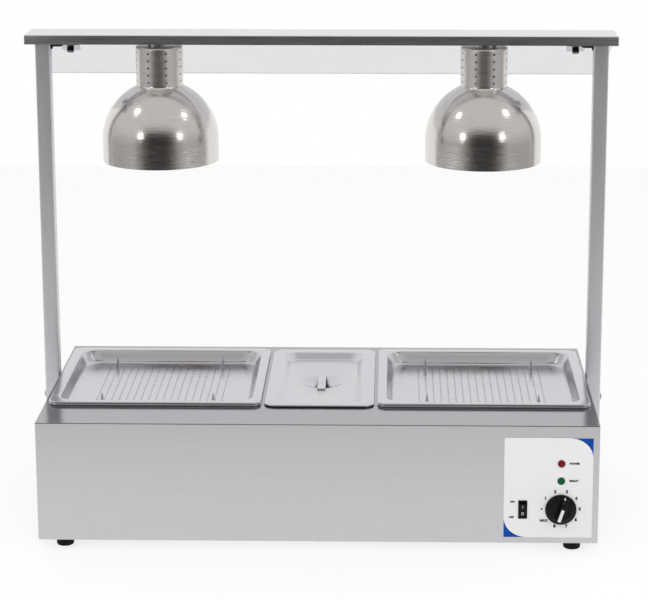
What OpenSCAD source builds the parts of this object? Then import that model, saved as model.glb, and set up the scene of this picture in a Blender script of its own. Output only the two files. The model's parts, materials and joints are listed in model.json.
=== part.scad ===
// Heated carving station. Two carving trays and a lidded pan hang in a heated
// well, and two heat lamps hang over the trays from a shelf on two posts.
// Y is measured from the face of the front panel, and centred() then moves
// every piece so that the origin lies under the middle of the whole object.

/* [Pans] */
// Width of a large pan's flange
large_pan_w = 354; // [300:1:420]
// Width of the middle pan's flange
small_pan_w = 176; // [150:1:220]
// Depth of every pan's flange, front to back
pan_d = 325; // [280:1:380]
// Free gap between neighbouring flanges
pan_gap = 9; // [8:0.5:14]
// Width of a pan's flat flange
pan_flange = 12; // [11:0.5:16]
// Height of the rim turned down round a flange
pan_rim_h = 3.2; // [2:0.1:5]
// Thickness of the pressed pan sheet
pan_t = 0.8; // [0.6:0.1:1.2]
// Corner radius of a flange
flange_r = 14; // [8:1:20]
// Corner radius of a pan's walls
pan_r = 30; // [15:1:40]
// Depth of a drip pan
drip_depth = 65; // [45:1:80]
// Depth of the middle pan
small_pan_depth = 100; // [65:1:110]
// Depth of a carving tray
tray_depth = 22; // [15:1:35]
// Gap between a tray's walls and the drip pan round it
nest_gap = 2.5; // [1.5:0.1:5]

/* [Tray floor] */
// Spacing of the drain holes
drain_pitch = 12.5; // [10:0.5:13.5]
// Number of drain holes along each side of the square field
drain_count = 18; // [8:2:18]
// Diameter of a drain hole
drain_hole_d = 3.2; // [2:0.1:5]
// Height of a carving spike
spike_h = 20; // [10:1:30]
// Diameter of a spike at its foot
spike_d = 9.5; // [6:0.5:12]
// Diameter of a spike at its tip
spike_tip_d = 1.2; // [0.8:0.1:2]

/* [Lid] */
// Overhang of the lid beyond the pan's flange
lid_over = 3.5; // [2:0.1:4.5]
// Thickness of the lid's sheet
lid_t = 0.8; // [0.6:0.1:1.2]
// Height of the rim turned down round the lid
lid_rim_h = 3; // [2:0.1:3.6]
// Depth of the sunk middle panel
lid_recess = 10; // [5:0.5:14]
// Gap between the sunk panel and the pan's walls
lid_recess_gap = 3.5; // [2:0.5:8]
// Corner radius of the sunk panel
lid_recess_r = 26; // [12:1:34]
// Diameter of the finger dimple
dimple_d = 78; // [60:1:90]
// Depth of the finger dimple
dimple_depth = 14; // [10:1:18]
// Width of the strap over the dimple
strap_w = 14; // [10:1:20]
// Thickness of the strap
strap_t = 1.5; // [1:0.1:2.5]
// Length of the strap's landing on the panel at each end
strap_land = 6; // [4:0.5:10]

/* [Casing] */
// Deck in front of the pans
front_ledge = 93; // [85:1:120]
// Deck behind the pans
rear_ledge = 32; // [28:1:60]
// Deck beside the pans
side_ledge = 6.5; // [4:0.5:20]
// Height of the casing with the deck
body_h = 200; // [190:1:260]
// Thickness of the casing sheet
sheet = 1.2; // [0.8:0.1:1.5]
// Width of the folded edges inside the casing
fold = 15; // [13:0.5:18]
// Height of the lip under the deck
deck_lip = 10; // [6:0.5:15]
// Clearance between the base plate and the casing
panel_gap = 0.5; // [0.3:0.1:1]
// Bearing of the pan flanges on the deck
pan_seat = 10; // [8:0.5:10.5]
// Corner radius of the well
well_r = 12; // [6:1:20]
// Room between the casing's bottom and the well
under_well = 58; // [50:1:66]
// Width of the well's flange under the deck
well_flange = 8; // [5:0.5:9]
// Width of a divider bar
bar_w = 25; // [18:0.5:26]
// Height of a divider bar
bar_h = 12; // [8:0.5:18]
// Clearance at each end of a divider bar
bar_gap = 0.5; // [0.3:0.1:1]
// Depth of the ledges that carry the divider bars
bar_ledge = 10; // [6:0.5:15]

/* [Feet] */
// Height of the feet
foot_h = 18; // [11:0.5:25]
// Diameter of a foot at its top
foot_d = 31; // [24:0.5:36]
// Diameter of a foot where it meets the table
foot_base_d = 28; // [22:0.5:32]
// Distance of a foot's axis from the casing's side
foot_inset_x = 39.5; // [36:0.5:60]
// Distance of a foot's axis from the casing's front and rear
foot_inset_y = 30; // [24:0.5:50]

/* [Posts and shelf] */
// Height of the whole station
station_h = 818; // [750:1:900]
// Side of the square posts
post_side = 25; // [22:0.5:30]
// Wall of the posts
post_wall = 1.5; // [1:0.1:2]
// Distance of the posts' axis from the front
post_y = 276.5; // [240:0.5:300]
// Height of the posts' lower ends above the casing's bottom
post_lift = 10; // [6:0.5:20]
// Depth of the shelf
shelf_d = 80; // [76:1:100]
// Height of the shelf's folded edge
shelf_h = 16; // [14:0.5:24]
// Overhang of the shelf beyond the posts
shelf_over = 13.2; // [8:0.1:25]

/* [Guard] */
// Length of the clear guard along its slope
guard_len = 166; // [120:1:200]
// Thickness of the guard
guard_t = 4; // [3:0.5:6]
// Slope of the guard below the horizontal
guard_tilt = 26; // [20:1:30]
// Inset of the guard from the shelf's ends
guard_inset = 3; // [1:0.5:12]
// Gap between the guard's upper edge and the lamps' necks
guard_gap = 2.5; // [2:0.5:6]
// Drop of the guard's upper edge below the shelf
guard_drop = 11; // [9:0.5:16]
// Width of a guard bracket
bracket_w = 31; // [24:0.5:40]
// Thickness of a guard bracket
bracket_t = 1.5; // [1:0.1:2]
// Length of a bracket's sloping leg
bracket_leg = 28; // [24:0.5:36]
// Distance of a bracket's middle from the casing's side
bracket_inset = 25.5; // [22:0.5:60]

/* [Lamps] */
// Largest radius of a shade
bell_r = 98.4; // [85:0.1:110]
// Height of the straight skirt below the dome
skirt_h = 37; // [20:1:50]
// Diameter of the shade's neck
neck_d = 79.2; // [66:0.1:90]
// Height of a whole shade
shade_h = 195; // [185:1:210]
// Thickness of the spun shade
shade_t = 1; // [0.8:0.1:1.5]
// Gap between the shelf's edge and the neck
shade_gap = 7; // [6:0.5:12]
// Diameter of a vent hole
vent_d = 3.5; // [2:0.1:5]
// Spacing of the vent rows
vent_pitch = 12.2; // [9:0.1:12.5]
// Number of vent rows
vent_rows = 5; // [2:1:5]
// Number of vent columns round the neck
vent_cols = 8; // [6:2:12]
// Distance of the top vent row below the neck's end
vent_top = 9; // [6:0.5:12]
// Diameter of the threaded stem
stem_d = 10; // [8:0.5:12]
// Diameter of the lamp holder
holder_d = 46; // [42:0.5:54]
// Height of the lamp holder
holder_h = 58; // [52:1:64]
// Diameter of the screw base of a bulb
bulb_base_d = 26.6; // [24:0.1:28]
// Length of the screw base of a bulb
bulb_base_h = 28; // [22:1:32]
// Largest diameter of a bulb
bulb_d = 121; // [90:1:130]
// Thickness of a bulb's glass
bulb_t = 1.5; // [1:0.1:2]
// Whole length of a bulb
bulb_h = 136; // [120:1:144]

/* [Controls] */
// Width of the control plate
plate_w = 144; // [130:1:160]
// Height of the control plate
plate_h = 170; // [160:1:174]
// Thickness of the control plate
plate_t = 1; // [0.8:0.1:2]
// Distance of the plate from the casing's side and bottom
plate_inset = 10; // [8:0.5:13]
// Distance of the knob and indicators from the plate's left edge
dial_u = 92.7; // [80:0.1:96]
// Height of the knob's axis above the plate's bottom
dial_v = 49; // [44:0.5:60]
// Height of the green indicator above the plate's bottom
green_v = 97; // [90:0.5:105]
// Height of the red indicator above the plate's bottom
red_v = 126.5; // [120:0.5:150]
// Distance of the switch from the plate's left edge
switch_u = 31; // [24:0.5:40]
// Height of the switch above the plate's bottom
switch_v = 48; // [40:0.5:60]
// Diameter of the knob's skirt
knob_d = 50.8; // [44:0.1:56]
// Height of the knob from its skirt to its grip
knob_h = 24; // [18:0.5:30]
// Height of the knob's skirt
skirt_t = 4; // [3:0.5:6]
// Diameter of the knob's raised hub
hub_d = 38; // [30:0.5:42]
// Thickness of the knob's grip
grip_w = 11; // [8:0.5:14]
// Turn of the knob at rest, clockwise from upright
knob_rest = 18; // [0:1:36]
// Diameter of the spindle
spindle_d = 6; // [5:0.1:8]
// Diameter of an indicator's lens
lens_d = 12.6; // [11:0.1:16]
// Diameter of an indicator's sleeve
sleeve_d = 10; // [8:0.1:10.5]
// Width of the switch's frame
switch_w = 14.5; // [13:0.1:18]
// Height of the switch's frame
switch_h = 31; // [29:0.1:36]
// Width of the rocker
rocker_w = 10.4; // [8:0.1:11]
// Height of the rocker
rocker_h = 23.6; // [20:0.1:24]
// Tilt of the rocker either side of the middle
rocker_tilt = 8; // [5:0.5:9]

/* [Heating and wiring] */
// Side of the thermostat's square body
thermostat_side = 36; // [32:1:40]
// Depth of the thermostat's body
thermostat_d = 26; // [20:1:34]
// Diameter of the heating element
element_d = 8.2; // [6:0.1:9]
// Height of the element above the well's floor
element_rise = 16; // [12:0.5:20]
// Bend radius of the element
element_bend = 25; // [18:1:30]
// Diameter of the sensor bulb
sensor_d = 6; // [4:0.1:7]
// Length of the sensor bulb
sensor_len = 90; // [60:1:95]
// Diameter of the sensor's fine tube
capillary_d = 2.4; // [1.5:0.1:3]
// Diameter of the lamps' leads
lead_d = 4.5; // [3:0.1:5]
// Distance of the leads behind the posts' axis, clear of the post bolts
lead_y_off = 6.5; // [6:0.1:7]
// Bend radius of the leads
lead_bend = 7; // [6:0.1:7.4]
// Diameter of the wires between the controls
wire_d = 3; // [2:0.1:3.5]
// Diameter of the supply gland's bore
gland_bore = 9; // [7:0.1:11]
// Diameter of the supply gland's thread
gland_thread = 18.6; // [15:0.1:22]
// Reach of the supply gland behind the rear panel
gland_out = 20; // [14:0.5:24]
// Reach of the supply gland inside the rear panel
gland_in = 12; // [8:0.5:16]

/* [Fasteners] */
// Diameter of the post bolts
bolt_d = 6; // [5:0.5:8]
// Diameter of the foot screws and guard screws
foot_screw_d = 5; // [4:0.5:6]
// Diameter of the panel screws
panel_screw_d = 4; // [3:0.5:4.5]
// Clearance between a screw and its hole, across the diameter
hole_gap = 0.4; // [0.2:0.1:0.8]
// Running clearance between a turning pin and its bore, across the diameter
run_gap = 0.1; // [0.04:0.02:0.2]

/* [Hidden] */
$fn = 48;

// Finishes
steel_colour = "#c4c5c7";
bright_colour = "#d6d7d9";
black_colour = "#1c1c1d";
white_colour = "#e9e9ea";
brass_colour = "#b9975b";

// Casing
row_w = 2 * large_pan_w + small_pan_w + 2 * pan_gap;
body_w = row_w + 2 * side_ledge;
body_d = front_ledge + pan_d + rear_ledge;
half_w = body_w / 2;
z_base = foot_h;
z_deck = foot_h + body_h;
wrap_h = body_h - sheet;
large_x = (small_pan_w + large_pan_w) / 2 + pan_gap;
bar_x = (small_pan_w + pan_gap) / 2;
pan_y = front_ledge + pan_d / 2;
well_w = row_w - 2 * pan_seat;
well_d = pan_d - 2 * pan_seat;
well_z = z_base + under_well;
well_front = pan_y - well_d / 2 - sheet;
base_top = z_base + sheet;
fold_mid = sheet + fold / 2;

// Pans: a body is what hangs below the flange
large_body_w = large_pan_w - 2 * pan_flange;
small_body_w = small_pan_w - 2 * pan_flange;
pan_body_d = pan_d - 2 * pan_flange;
nest = pan_t + nest_gap;
pan_top = z_deck + pan_rim_h;
tray_top = pan_top + pan_rim_h;
tray_floor = tray_top - tray_depth + pan_t;
drain_first = (drain_count - 1) * drain_pitch / 2;
spike_x = drain_first - drain_pitch;
spike_y = drain_first;
lid_top = pan_top + lid_t;
lid_panel = lid_top - lid_recess;
lid_recess_w = small_body_w - 2 * (pan_t + lid_recess_gap);
lid_recess_d = pan_body_d - 2 * (pan_t + lid_recess_gap);
dimple_r = (pow(dimple_d / 2, 2) + pow(dimple_depth, 2)) / (2 * dimple_depth);

// Feet and screws
screw_head = 2.2;
screw_reach = 8;
foot_bore_h = 6;
foot_head_h = 4;
weld_nut_d = 12;
weld_nut_h = 5;
foot_x = half_w - foot_inset_x;
foot_ys = [foot_inset_y, body_d - foot_inset_y];
base_screw_spots = [
    [-half_w * 0.65, fold_mid], [0, fold_mid], [half_w * 0.65, fold_mid],
    [-half_w + fold_mid, body_d * 0.3], [half_w - fold_mid, body_d * 0.3],
    [-half_w + fold_mid, body_d * 0.75], [half_w - fold_mid, body_d * 0.75]
];
rear_screw_zs = [0.14, 0.5, 0.88];

// Posts and shelf
post_mid = half_w + post_side / 2;
post_z = z_base + post_lift;
shelf_w = body_w + 2 * (post_side + shelf_over);
shelf_under = station_h - sheet;
shelf_edge_z = station_h - shelf_h;
seam_gap = 0.2;
post_bolt_zs = [z_base + body_h * 0.42, z_base + body_h * 0.82];
bolt_head_h = 2.8;
nut_h = 5;
cap_t = 2;
cap_plug = 9;

// Cable holes in the casing and the posts
cable_hole = lead_d + 4;
cable_drop = 8;
cable_low_z = z_base + under_well * 0.55;
cable_high_z = shelf_edge_z - cable_drop;
grommet_bore = lead_d + 0.7;
grommet_rim = 2;

// Guard
guard_y = post_y + neck_d / 2 + guard_gap;
guard_z = shelf_edge_z - guard_drop;
guard_w = shelf_w - 2 * guard_inset;
guard_x = half_w - bracket_inset;
guard_hole_y = bracket_leg / 2;
guard_nut_d = 12;
guard_nut_h = 7;
guard_head_h = 3;

// Lamps
neck_top = shelf_edge_z - shade_gap;
rim_z = neck_top - shade_h;
dome_z = rim_z + skirt_h;
lamp_nut_h = 6;
lamp_nut_d = 17;
holder_top = neck_top - shade_t - 2 * lamp_nut_h;
holder_z = holder_top - holder_h;
stem_bite = 12;
bulb_top = holder_z + bulb_base_h + 1;
bulb_z = bulb_top - bulb_h;
stem_flange_d = 30;
stem_flange_t = 2;
lead_x_off = holder_d / 2 - lead_d - 1.25;
lead_y = post_y + lead_y_off;

// Control plate
plate_x = half_w - plate_inset - plate_w;
plate_z = z_base + plate_inset;
knob_x = plate_x + dial_u;
knob_z = plate_z + dial_v;
switch_x = plate_x + switch_u;
switch_z = plate_z + switch_v;
knob_gap = 1;
knob_base = plate_t + knob_gap;
spindle_out = knob_base + knob_h * 0.6;
spindle_in = thermostat_d * 0.5;
spindle_hole = spindle_d + 4;
fix_screw_off = 14;
fix_head_d = 7;
fix_screw_bite = 6;
switch_frame_t = 1.5;
switch_body_w = switch_w - 2.1;
switch_body_h = switch_h - 2.8;
switch_depth = 18;
rocker_pivot = 3;
rocker_pin_d = 3;
rocker_side_gap = 0.2;
rocker_end_gap = 1.4;
rocker_crown = 7.6;
rocker_valley = 5.6;
rocker_room = 5;
blade_h = 8;
lens_rim = 1.5;

// Heating and wiring
element_inset = 45;
element_side_inset = 40;
element_tail = 18;
element_lead_off = 136;
element_lead_gap = 60;
element_z = well_z + sheet + element_rise;
element_y = well_front + sheet + element_inset;
element_rear = well_front + sheet + well_d - element_inset;
element_end = well_front - element_tail;
element_side = well_w / 2 - element_side_inset;
element_in_x = knob_x - element_lead_off;
element_out_x = element_in_x - element_lead_gap;
element_collar_d = element_d + 4;
element_slip = 0.2;
gland_nut_d = 20;
gland_rim = 3;
gland_hex = 6;
sensor_y = well_front - sensor_d / 2 - 4;
sensor_z = knob_z + thermostat_side / 2 - 4;
capillary_bend = 12;
sensor_x = knob_x - 2 * capillary_bend;
block_off = 145;
block_x = switch_x - block_off;
block_w = 80;
block_ways = 6;
block_d = 22;
block_h = 18;
block_y = 40;
block_screw_d = 5;
block_screw_h = 6;
earth_washer_d = 16;
earth_washer_t = 1.5;
earth_h = 22;
earth_nut_d = 11.5;
earth_nut_z = 8;
switch_run = 16;
stat_run = 18;
entry_run = 14;
loop_run = 12;
switch_blade_drop = 4;
stat_blade_drop = 5;
wire_gap = 0.3;
wire_bend = 6;
entry_drop = 4;
blade_w = 6.3;
blade_t = 0.8;
stat_blade_off = 10;
stat_blade_x = knob_x - stat_blade_off;
lead_z = base_top + lead_d / 2 + wire_gap;
supply_x = block_x;
supply_z = z_base + under_well * 0.85;

// The station's reach, front to rear, and its middle
knob_front = -(knob_base + knob_h);
guard_rear = guard_y + guard_len * cos(guard_tilt) + guard_t * sin(guard_tilt);
rear_reach = max(body_d + gland_out, guard_rear);
y_mid = (knob_front + rear_reach) / 2;

// Helpers: places
module centred() {
    translate([0, -y_mid, 0]) children();
}
module both_sides() {
    for (side = [-1, 1])
        flip_x(side) children();
}
module flip_x(side) {
    if (side < 0) mirror([1, 0, 0]) children();
    else children();
}
module on_front(x, z) {
    translate([x, 0, z]) rotate([90, 0, 0]) children();
}
module along_x(x, y, z) {
    translate([x, y, z]) rotate([0, 90, 0]) children();
}
module guard_plane() {
    translate([0, guard_y, guard_z]) rotate([-guard_tilt, 0, 0]) children();
}

// Helpers: shapes
module rounded(w, d, r) {
    square([w - 2 * r, d], center = true);
    square([w, d - 2 * r], center = true);
    for (x = [-1, 1], y = [-1, 1])
        translate([x * (w / 2 - r), y * (d / 2 - r)]) circle(r);
}
module block(w, d, h) {
    translate([-w / 2, 0, 0]) cube([w, d, h]);
}
module pressed_pan(w, d, body_w, body_d, depth) {
    difference() {
        union() {
            translate([0, 0, -pan_t]) linear_extrude(pan_t) rounded(w, d, flange_r);
            translate([0, 0, -depth]) linear_extrude(depth) rounded(body_w, body_d, pan_r);
            translate([0, 0, -pan_rim_h]) linear_extrude(pan_rim_h) difference() {
                rounded(w, d, flange_r);
                rounded(w - 2 * pan_t, d - 2 * pan_t, flange_r - pan_t);
            }
        }
        translate([0, 0, pan_t - depth]) linear_extrude(depth)
            rounded(body_w - 2 * pan_t, body_d - 2 * pan_t, pan_r - pan_t);
    }
}
module hex_nut(d, bore, h) {
    difference() {
        cylinder(d = d, h = h, $fn = 6);
        translate([0, 0, -1]) cylinder(d = bore, h = h + 2);
    }
}
module screw(d, length, head_d, head_h) {
    cylinder(d = d, h = length);
    translate([0, 0, -head_h]) cylinder(d = head_d, h = head_h);
}

// Helpers: tubes along a route of straight runs with round bends
function unit(v) = v / norm(v);
function bend(a, p, b, r, n) =
    let (u = unit(a - p), w = unit(b - p), turn = 180 - acos(u * w))
    let (middle = p + unit(u + w) * r / cos(turn / 2), run = r * tan(turn / 2))
    let (from = p + u * run - middle, to = p + w * run - middle)
    [for (i = [0:n]) middle + (from * sin((1 - i / n) * turn) + to * sin(i / n * turn)) / sin(turn)];
function route(p, r, n = 5) = concat(
    [p[0]],
    [for (i = [1:len(p) - 2]) each bend(p[i - 1], p[i], p[i + 1], r, n)],
    [p[len(p) - 1]]
);
function ring(at, t, d, sides) =
    let (a = unit(cross([0.35, 0.6, 0.72], t)), b = cross(t, a))
    [for (k = [0:sides - 1]) at + d / 2 * (cos(360 * k / sides) * a + sin(360 * k / sides) * b)];
module tube(path, d, sides = 8) {
    n = len(path);
    last = (n - 1) * sides;
    rings = [for (i = [0:n - 1])
        ring(path[i], unit(path[min(i + 1, n - 1)] - path[max(i - 1, 0)]), d, sides)];
    walls = [for (i = [0:n - 2], k = [0:sides - 1])
        let (p = i * sides + k, q = i * sides + (k + 1) % sides)
        each [[p, p + sides, q + sides], [p, q + sides, q]]];
    ends = [for (k = [1:sides - 2]) each [[0, k, k + 1], [last, last + k + 1, last + k]]];
    polyhedron(points = [for (r = rings) each r], faces = concat(walls, ends));
}

// Casing
module body_wrap() {
    rear_fold_z = base_top + sheet + panel_gap;
    color(steel_colour) centred() difference() {
        union() {
            translate([0, 0, z_base]) block(body_w, sheet, wrap_h);
            translate([0, 0, base_top]) block(body_w, sheet + fold, sheet);
            both_sides() {
                translate([half_w - sheet, 0, z_base]) cube([sheet, body_d - sheet, wrap_h]);
                translate([half_w - sheet - fold, 0, base_top])
                    cube([sheet + fold, body_d - 2 * sheet, sheet]);
                translate([half_w - sheet - fold, body_d - 2 * sheet, rear_fold_z])
                    cube([sheet + fold, sheet, z_base + wrap_h - rear_fold_z]);
            }
        }
        front_holes(sheet + 1, 0);
        base_screw_holes();
        rear_screw_holes();
        both_sides() {
            along_x(half_w - sheet - 1, lead_y, cable_low_z) cylinder(d = cable_hole, h = sheet + 2);
            for (z = post_bolt_zs)
                along_x(half_w - sheet - 1, post_y, z) cylinder(d = bolt_d + hole_gap, h = sheet + 2);
        }
    }
}
module front_holes(depth, front) {
    through = depth + front + 1;
    translate([0, depth, 0]) {
        on_front(knob_x, knob_z) cylinder(d = spindle_hole, h = through);
        for (v = [green_v, red_v])
            on_front(knob_x, plate_z + v) cylinder(d = sleeve_d + hole_gap, h = through);
        on_front(switch_x, switch_z) translate([0, 0, through / 2])
            cube([switch_body_w + hole_gap, switch_body_h + hole_gap, through], center = true);
        for (side = [-1, 1])
            on_front(knob_x + side * fix_screw_off, knob_z)
                cylinder(d = front > 0 ? fix_head_d + hole_gap : panel_screw_d + hole_gap, h = through);
    }
}
module base_screw_holes() {
    for (p = base_screw_spots)
        translate([p[0], p[1], z_base - 1]) cylinder(d = panel_screw_d + hole_gap, h = 2 * sheet + 2);
}
module rear_screw_holes() {
    both_sides() for (k = rear_screw_zs)
        translate([half_w - fold_mid, body_d + 1, z_base + k * wrap_h])
            rotate([90, 0, 0]) cylinder(d = panel_screw_d + hole_gap, h = 2 * sheet + 2);
}
module deck() {
    lip_x = half_w - 2 * sheet;
    color(bright_colour) centred() {
        difference() {
            translate([0, 0, z_deck - sheet]) block(body_w, body_d, sheet);
            translate([0, pan_y, z_deck - sheet - 1]) linear_extrude(sheet + 2)
                rounded(well_w, well_d, well_r);
        }
        translate([0, sheet, z_deck - sheet - deck_lip]) block(2 * lip_x, sheet, deck_lip);
        both_sides() translate([lip_x, sheet, z_deck - sheet - deck_lip])
            cube([sheet, body_d - 4 * sheet, deck_lip]);
    }
}
module rear_panel() {
    slot_w = 4;
    slot_h = 40;
    color(steel_colour) centred() difference() {
        translate([0, body_d - sheet, z_base]) block(body_w, sheet, wrap_h);
        rear_screw_holes();
        translate([supply_x, body_d + 1, supply_z]) rotate([90, 0, 0])
            cylinder(d = gland_thread + hole_gap, h = sheet + 2);
        both_sides() for (k = [0:9])
            translate([half_w * 0.45 + k * 3 * slot_w, body_d - sheet - 1, z_base + wrap_h * 0.62])
                cube([slot_w, sheet + 2, slot_h]);
    }
}
module base_plate() {
    color(steel_colour) centred() difference() {
        union() {
            translate([0, sheet + panel_gap, z_base])
                block(body_w - 2 * (sheet + panel_gap), body_d - 2 * (sheet + panel_gap), sheet);
            both_sides() for (y = foot_ys)
                translate([foot_x, y, base_top]) cylinder(d = weld_nut_d, h = weld_nut_h);
        }
        base_screw_holes();
        both_sides() for (y = foot_ys)
            translate([foot_x, y, z_base - 1])
                cylinder(d = foot_screw_d + hole_gap, h = sheet + weld_nut_h + 2);
    }
}
module well() {
    top = z_deck - sheet;
    ledge_d = bar_ledge + sheet / 2;
    ledge_off = (well_d + sheet - ledge_d) / 2;
    color(bright_colour) centred() {
        difference() {
            union() {
                translate([0, pan_y, well_z]) linear_extrude(top - well_z)
                    rounded(well_w + 2 * sheet, well_d + 2 * sheet, well_r + sheet);
                translate([0, pan_y, top - sheet]) linear_extrude(sheet)
                    rounded(well_w + 2 * well_flange, well_d + 2 * well_flange, well_r + well_flange);
            }
            translate([0, pan_y, well_z + sheet]) linear_extrude(top - well_z)
                rounded(well_w, well_d, well_r);
            for (x = [element_in_x, element_out_x])
                translate([x, well_front + sheet + 1, element_z]) rotate([90, 0, 0])
                    cylinder(d = element_collar_d + hole_gap, h = sheet + 2);
        }
        for (x = [-bar_x, bar_x], side = [-1, 1])
            translate([x, pan_y + side * ledge_off - ledge_d / 2, z_deck - bar_h - sheet])
                block(bar_w, ledge_d, sheet);
    }
}
module divider_bar(x) {
    length = well_d - 2 * bar_gap;
    color(bright_colour) centred() translate([x, pan_y - length / 2, z_deck - bar_h]) difference() {
        block(bar_w, length, bar_h);
        translate([0, -1, -1]) block(bar_w - 2 * sheet, length + 2, bar_h - sheet + 1);
    }
}

// Feet and screws
module at_feet() {
    both_sides() for (y = foot_ys)
        translate([foot_x, y, 0]) children();
}
module feet() {
    color(black_colour) centred() at_feet() difference() {
        cylinder(d1 = foot_base_d, d2 = foot_d, h = foot_h);
        translate([0, 0, -1]) cylinder(d = foot_screw_d + hole_gap, h = foot_h + 2);
        translate([0, 0, -1]) cylinder(d = 2.2 * foot_screw_d, h = foot_bore_h + 1);
    }
}
module foot_screws() {
    color(steel_colour) centred() at_feet() translate([0, 0, foot_bore_h])
        screw(foot_screw_d, foot_h - foot_bore_h + sheet + weld_nut_h + 2, 1.9 * foot_screw_d, foot_head_h);
}
module panel_screw() {
    screw(panel_screw_d, screw_reach, 2 * panel_screw_d, screw_head);
}
module panel_screws() {
    color(steel_colour) centred() {
        for (p = base_screw_spots)
            translate([p[0], p[1], z_base]) panel_screw();
        both_sides() for (k = rear_screw_zs)
            translate([half_w - fold_mid, body_d, z_base + k * wrap_h]) rotate([90, 0, 0]) panel_screw();
    }
}

// Controls
module control_plate() {
    color(white_colour) centred() difference() {
        translate([plate_x + plate_w / 2, 0, plate_z + plate_h / 2]) rotate([90, 0, 0])
            linear_extrude(plate_t) rounded(plate_w, plate_h, 2);
        front_holes(1, plate_t);
    }
}
module knob() {
    color(black_colour) centred() translate([0, -knob_base, 0]) on_front(knob_x, knob_z)
        rotate([0, 0, -knob_rest]) difference() {
            union() {
                cylinder(d = knob_d, h = skirt_t);
                translate([0, 0, skirt_t]) cylinder(d1 = knob_d - 3, d2 = hub_d, h = skirt_t);
                intersection() {
                    translate([-grip_w / 2, -knob_d / 2, 0]) cube([grip_w, knob_d, knob_h]);
                    cylinder(d = hub_d, h = knob_h);
                }
            }
            translate([0, 0, -1]) cylinder(d = spindle_d + run_gap, h = spindle_out - knob_base + 2);
            pointer_bar(knob_h, hole_gap / 2);
        }
}
module pointer_bar(top, gap) {
    pointer_w = 5;
    pointer_t = 0.8;
    translate([-pointer_w / 2 - gap, -hub_d / 2 + 0.5 - gap, top - pointer_t])
        cube([pointer_w + 2 * gap, hub_d / 2 + 2 * gap, 2 * pointer_t]);
}
module knob_pointer() {
    color(white_colour) centred() translate([0, -knob_base, 0]) on_front(knob_x, knob_z)
        rotate([0, 0, -knob_rest]) intersection() {
            pointer_bar(knob_h, 0);
            cylinder(d = hub_d - 1, h = knob_h);
        }
}
module spindle() {
    color(steel_colour) centred() translate([0, spindle_in, 0]) on_front(knob_x, knob_z)
        cylinder(d = spindle_d, h = spindle_in + spindle_out);
}
module thermostat() {
    bush_d = spindle_hole - hole_gap;
    color(bright_colour) centred() difference() {
        union() {
            translate([knob_x, sheet, knob_z - thermostat_side / 2])
                block(thermostat_side, thermostat_d, thermostat_side);
            translate([0, sheet, 0]) on_front(knob_x, knob_z) cylinder(d = bush_d, h = sheet + plate_t);
            for (z = [-8, 4])
                translate([stat_blade_x, sheet + thermostat_d, knob_z + z]) cube([blade_t, blade_h, blade_w]);
        }
        translate([0, spindle_in + 1, 0]) on_front(knob_x, knob_z)
            cylinder(d = spindle_d + run_gap, h = spindle_in + plate_t + 2);
        for (side = [-1, 1])
            translate([0, sheet + fix_screw_bite + 2, 0]) on_front(knob_x + side * fix_screw_off, knob_z)
                cylinder(d = panel_screw_d + run_gap, h = fix_screw_bite + 4);
    }
}
module thermostat_screws() {
    color(steel_colour) centred() for (side = [-1, 1])
        translate([knob_x + side * fix_screw_off, 0, knob_z]) rotate([-90, 0, 0])
            screw(panel_screw_d, sheet + fix_screw_bite, fix_head_d, plate_t * 0.9);
}
module indicator(v, tint) {
    dome_r = (lens_d - 2) / 2;
    color(tint) centred() translate([0, -plate_t, 0]) on_front(knob_x, plate_z + v) {
        cylinder(d = lens_d, h = lens_rim);
        translate([0, 0, lens_rim]) rotate_extrude() intersection() {
            translate([0, -dome_r]) circle(dome_r * sqrt(2));
            square(dome_r);
        }
    }
}
module indicator_sleeves() {
    reach = 22;
    lock_t = 4;
    color(black_colour) centred() for (v = [green_v, red_v]) {
        translate([0, reach, 0]) on_front(knob_x, plate_z + v) cylinder(d = sleeve_d, h = reach + plate_t);
        translate([0, sheet + lock_t, 0]) on_front(knob_x, plate_z + v)
            cylinder(d = sleeve_d + 4, h = lock_t);
    }
}
module switch_housing() {
    pocket_w = rocker_w + 2 * rocker_side_gap;
    pocket_h = rocker_h + 2 * rocker_end_gap;
    floor_y = rocker_pivot + rocker_room;
    color(black_colour) centred() difference() {
        union() {
            translate([switch_x, -plate_t - switch_frame_t, switch_z - switch_h / 2])
                block(switch_w, switch_frame_t, switch_h);
            translate([switch_x, -plate_t, switch_z - switch_body_h / 2])
                block(switch_body_w, switch_depth + plate_t, switch_body_h);
            for (z = [-7, 1])
                translate([switch_x - blade_t / 2, switch_depth, switch_z + z])
                    cube([blade_t, blade_h, blade_w]);
        }
        translate([switch_x, floor_y - switch_depth, switch_z - pocket_h / 2])
            block(pocket_w, switch_depth, pocket_h);
        along_x(switch_x - switch_w, rocker_pivot, switch_z)
            cylinder(d = rocker_pin_d + run_gap, h = 2 * switch_w);
    }
}
module rocker() {
    half_h = rocker_h / 2;
    side = [
        [-half_h, 1], [-half_h, -rocker_crown], [0, -rocker_valley], [half_h, -rocker_crown], [half_h, 1]
    ];
    color(black_colour) centred() translate([switch_x, rocker_pivot, switch_z]) rotate([rocker_tilt, 0, 0]) {
        translate([-rocker_w / 2, 0, 0]) rotate([90, 0, 90]) linear_extrude(rocker_w)
            polygon([for (p = side) [p[1], p[0]]]);
        along_x(-switch_body_w / 2 + rocker_side_gap, 0, 0)
            cylinder(d = rocker_pin_d, h = switch_body_w - 2 * rocker_side_gap);
    }
}

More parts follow.
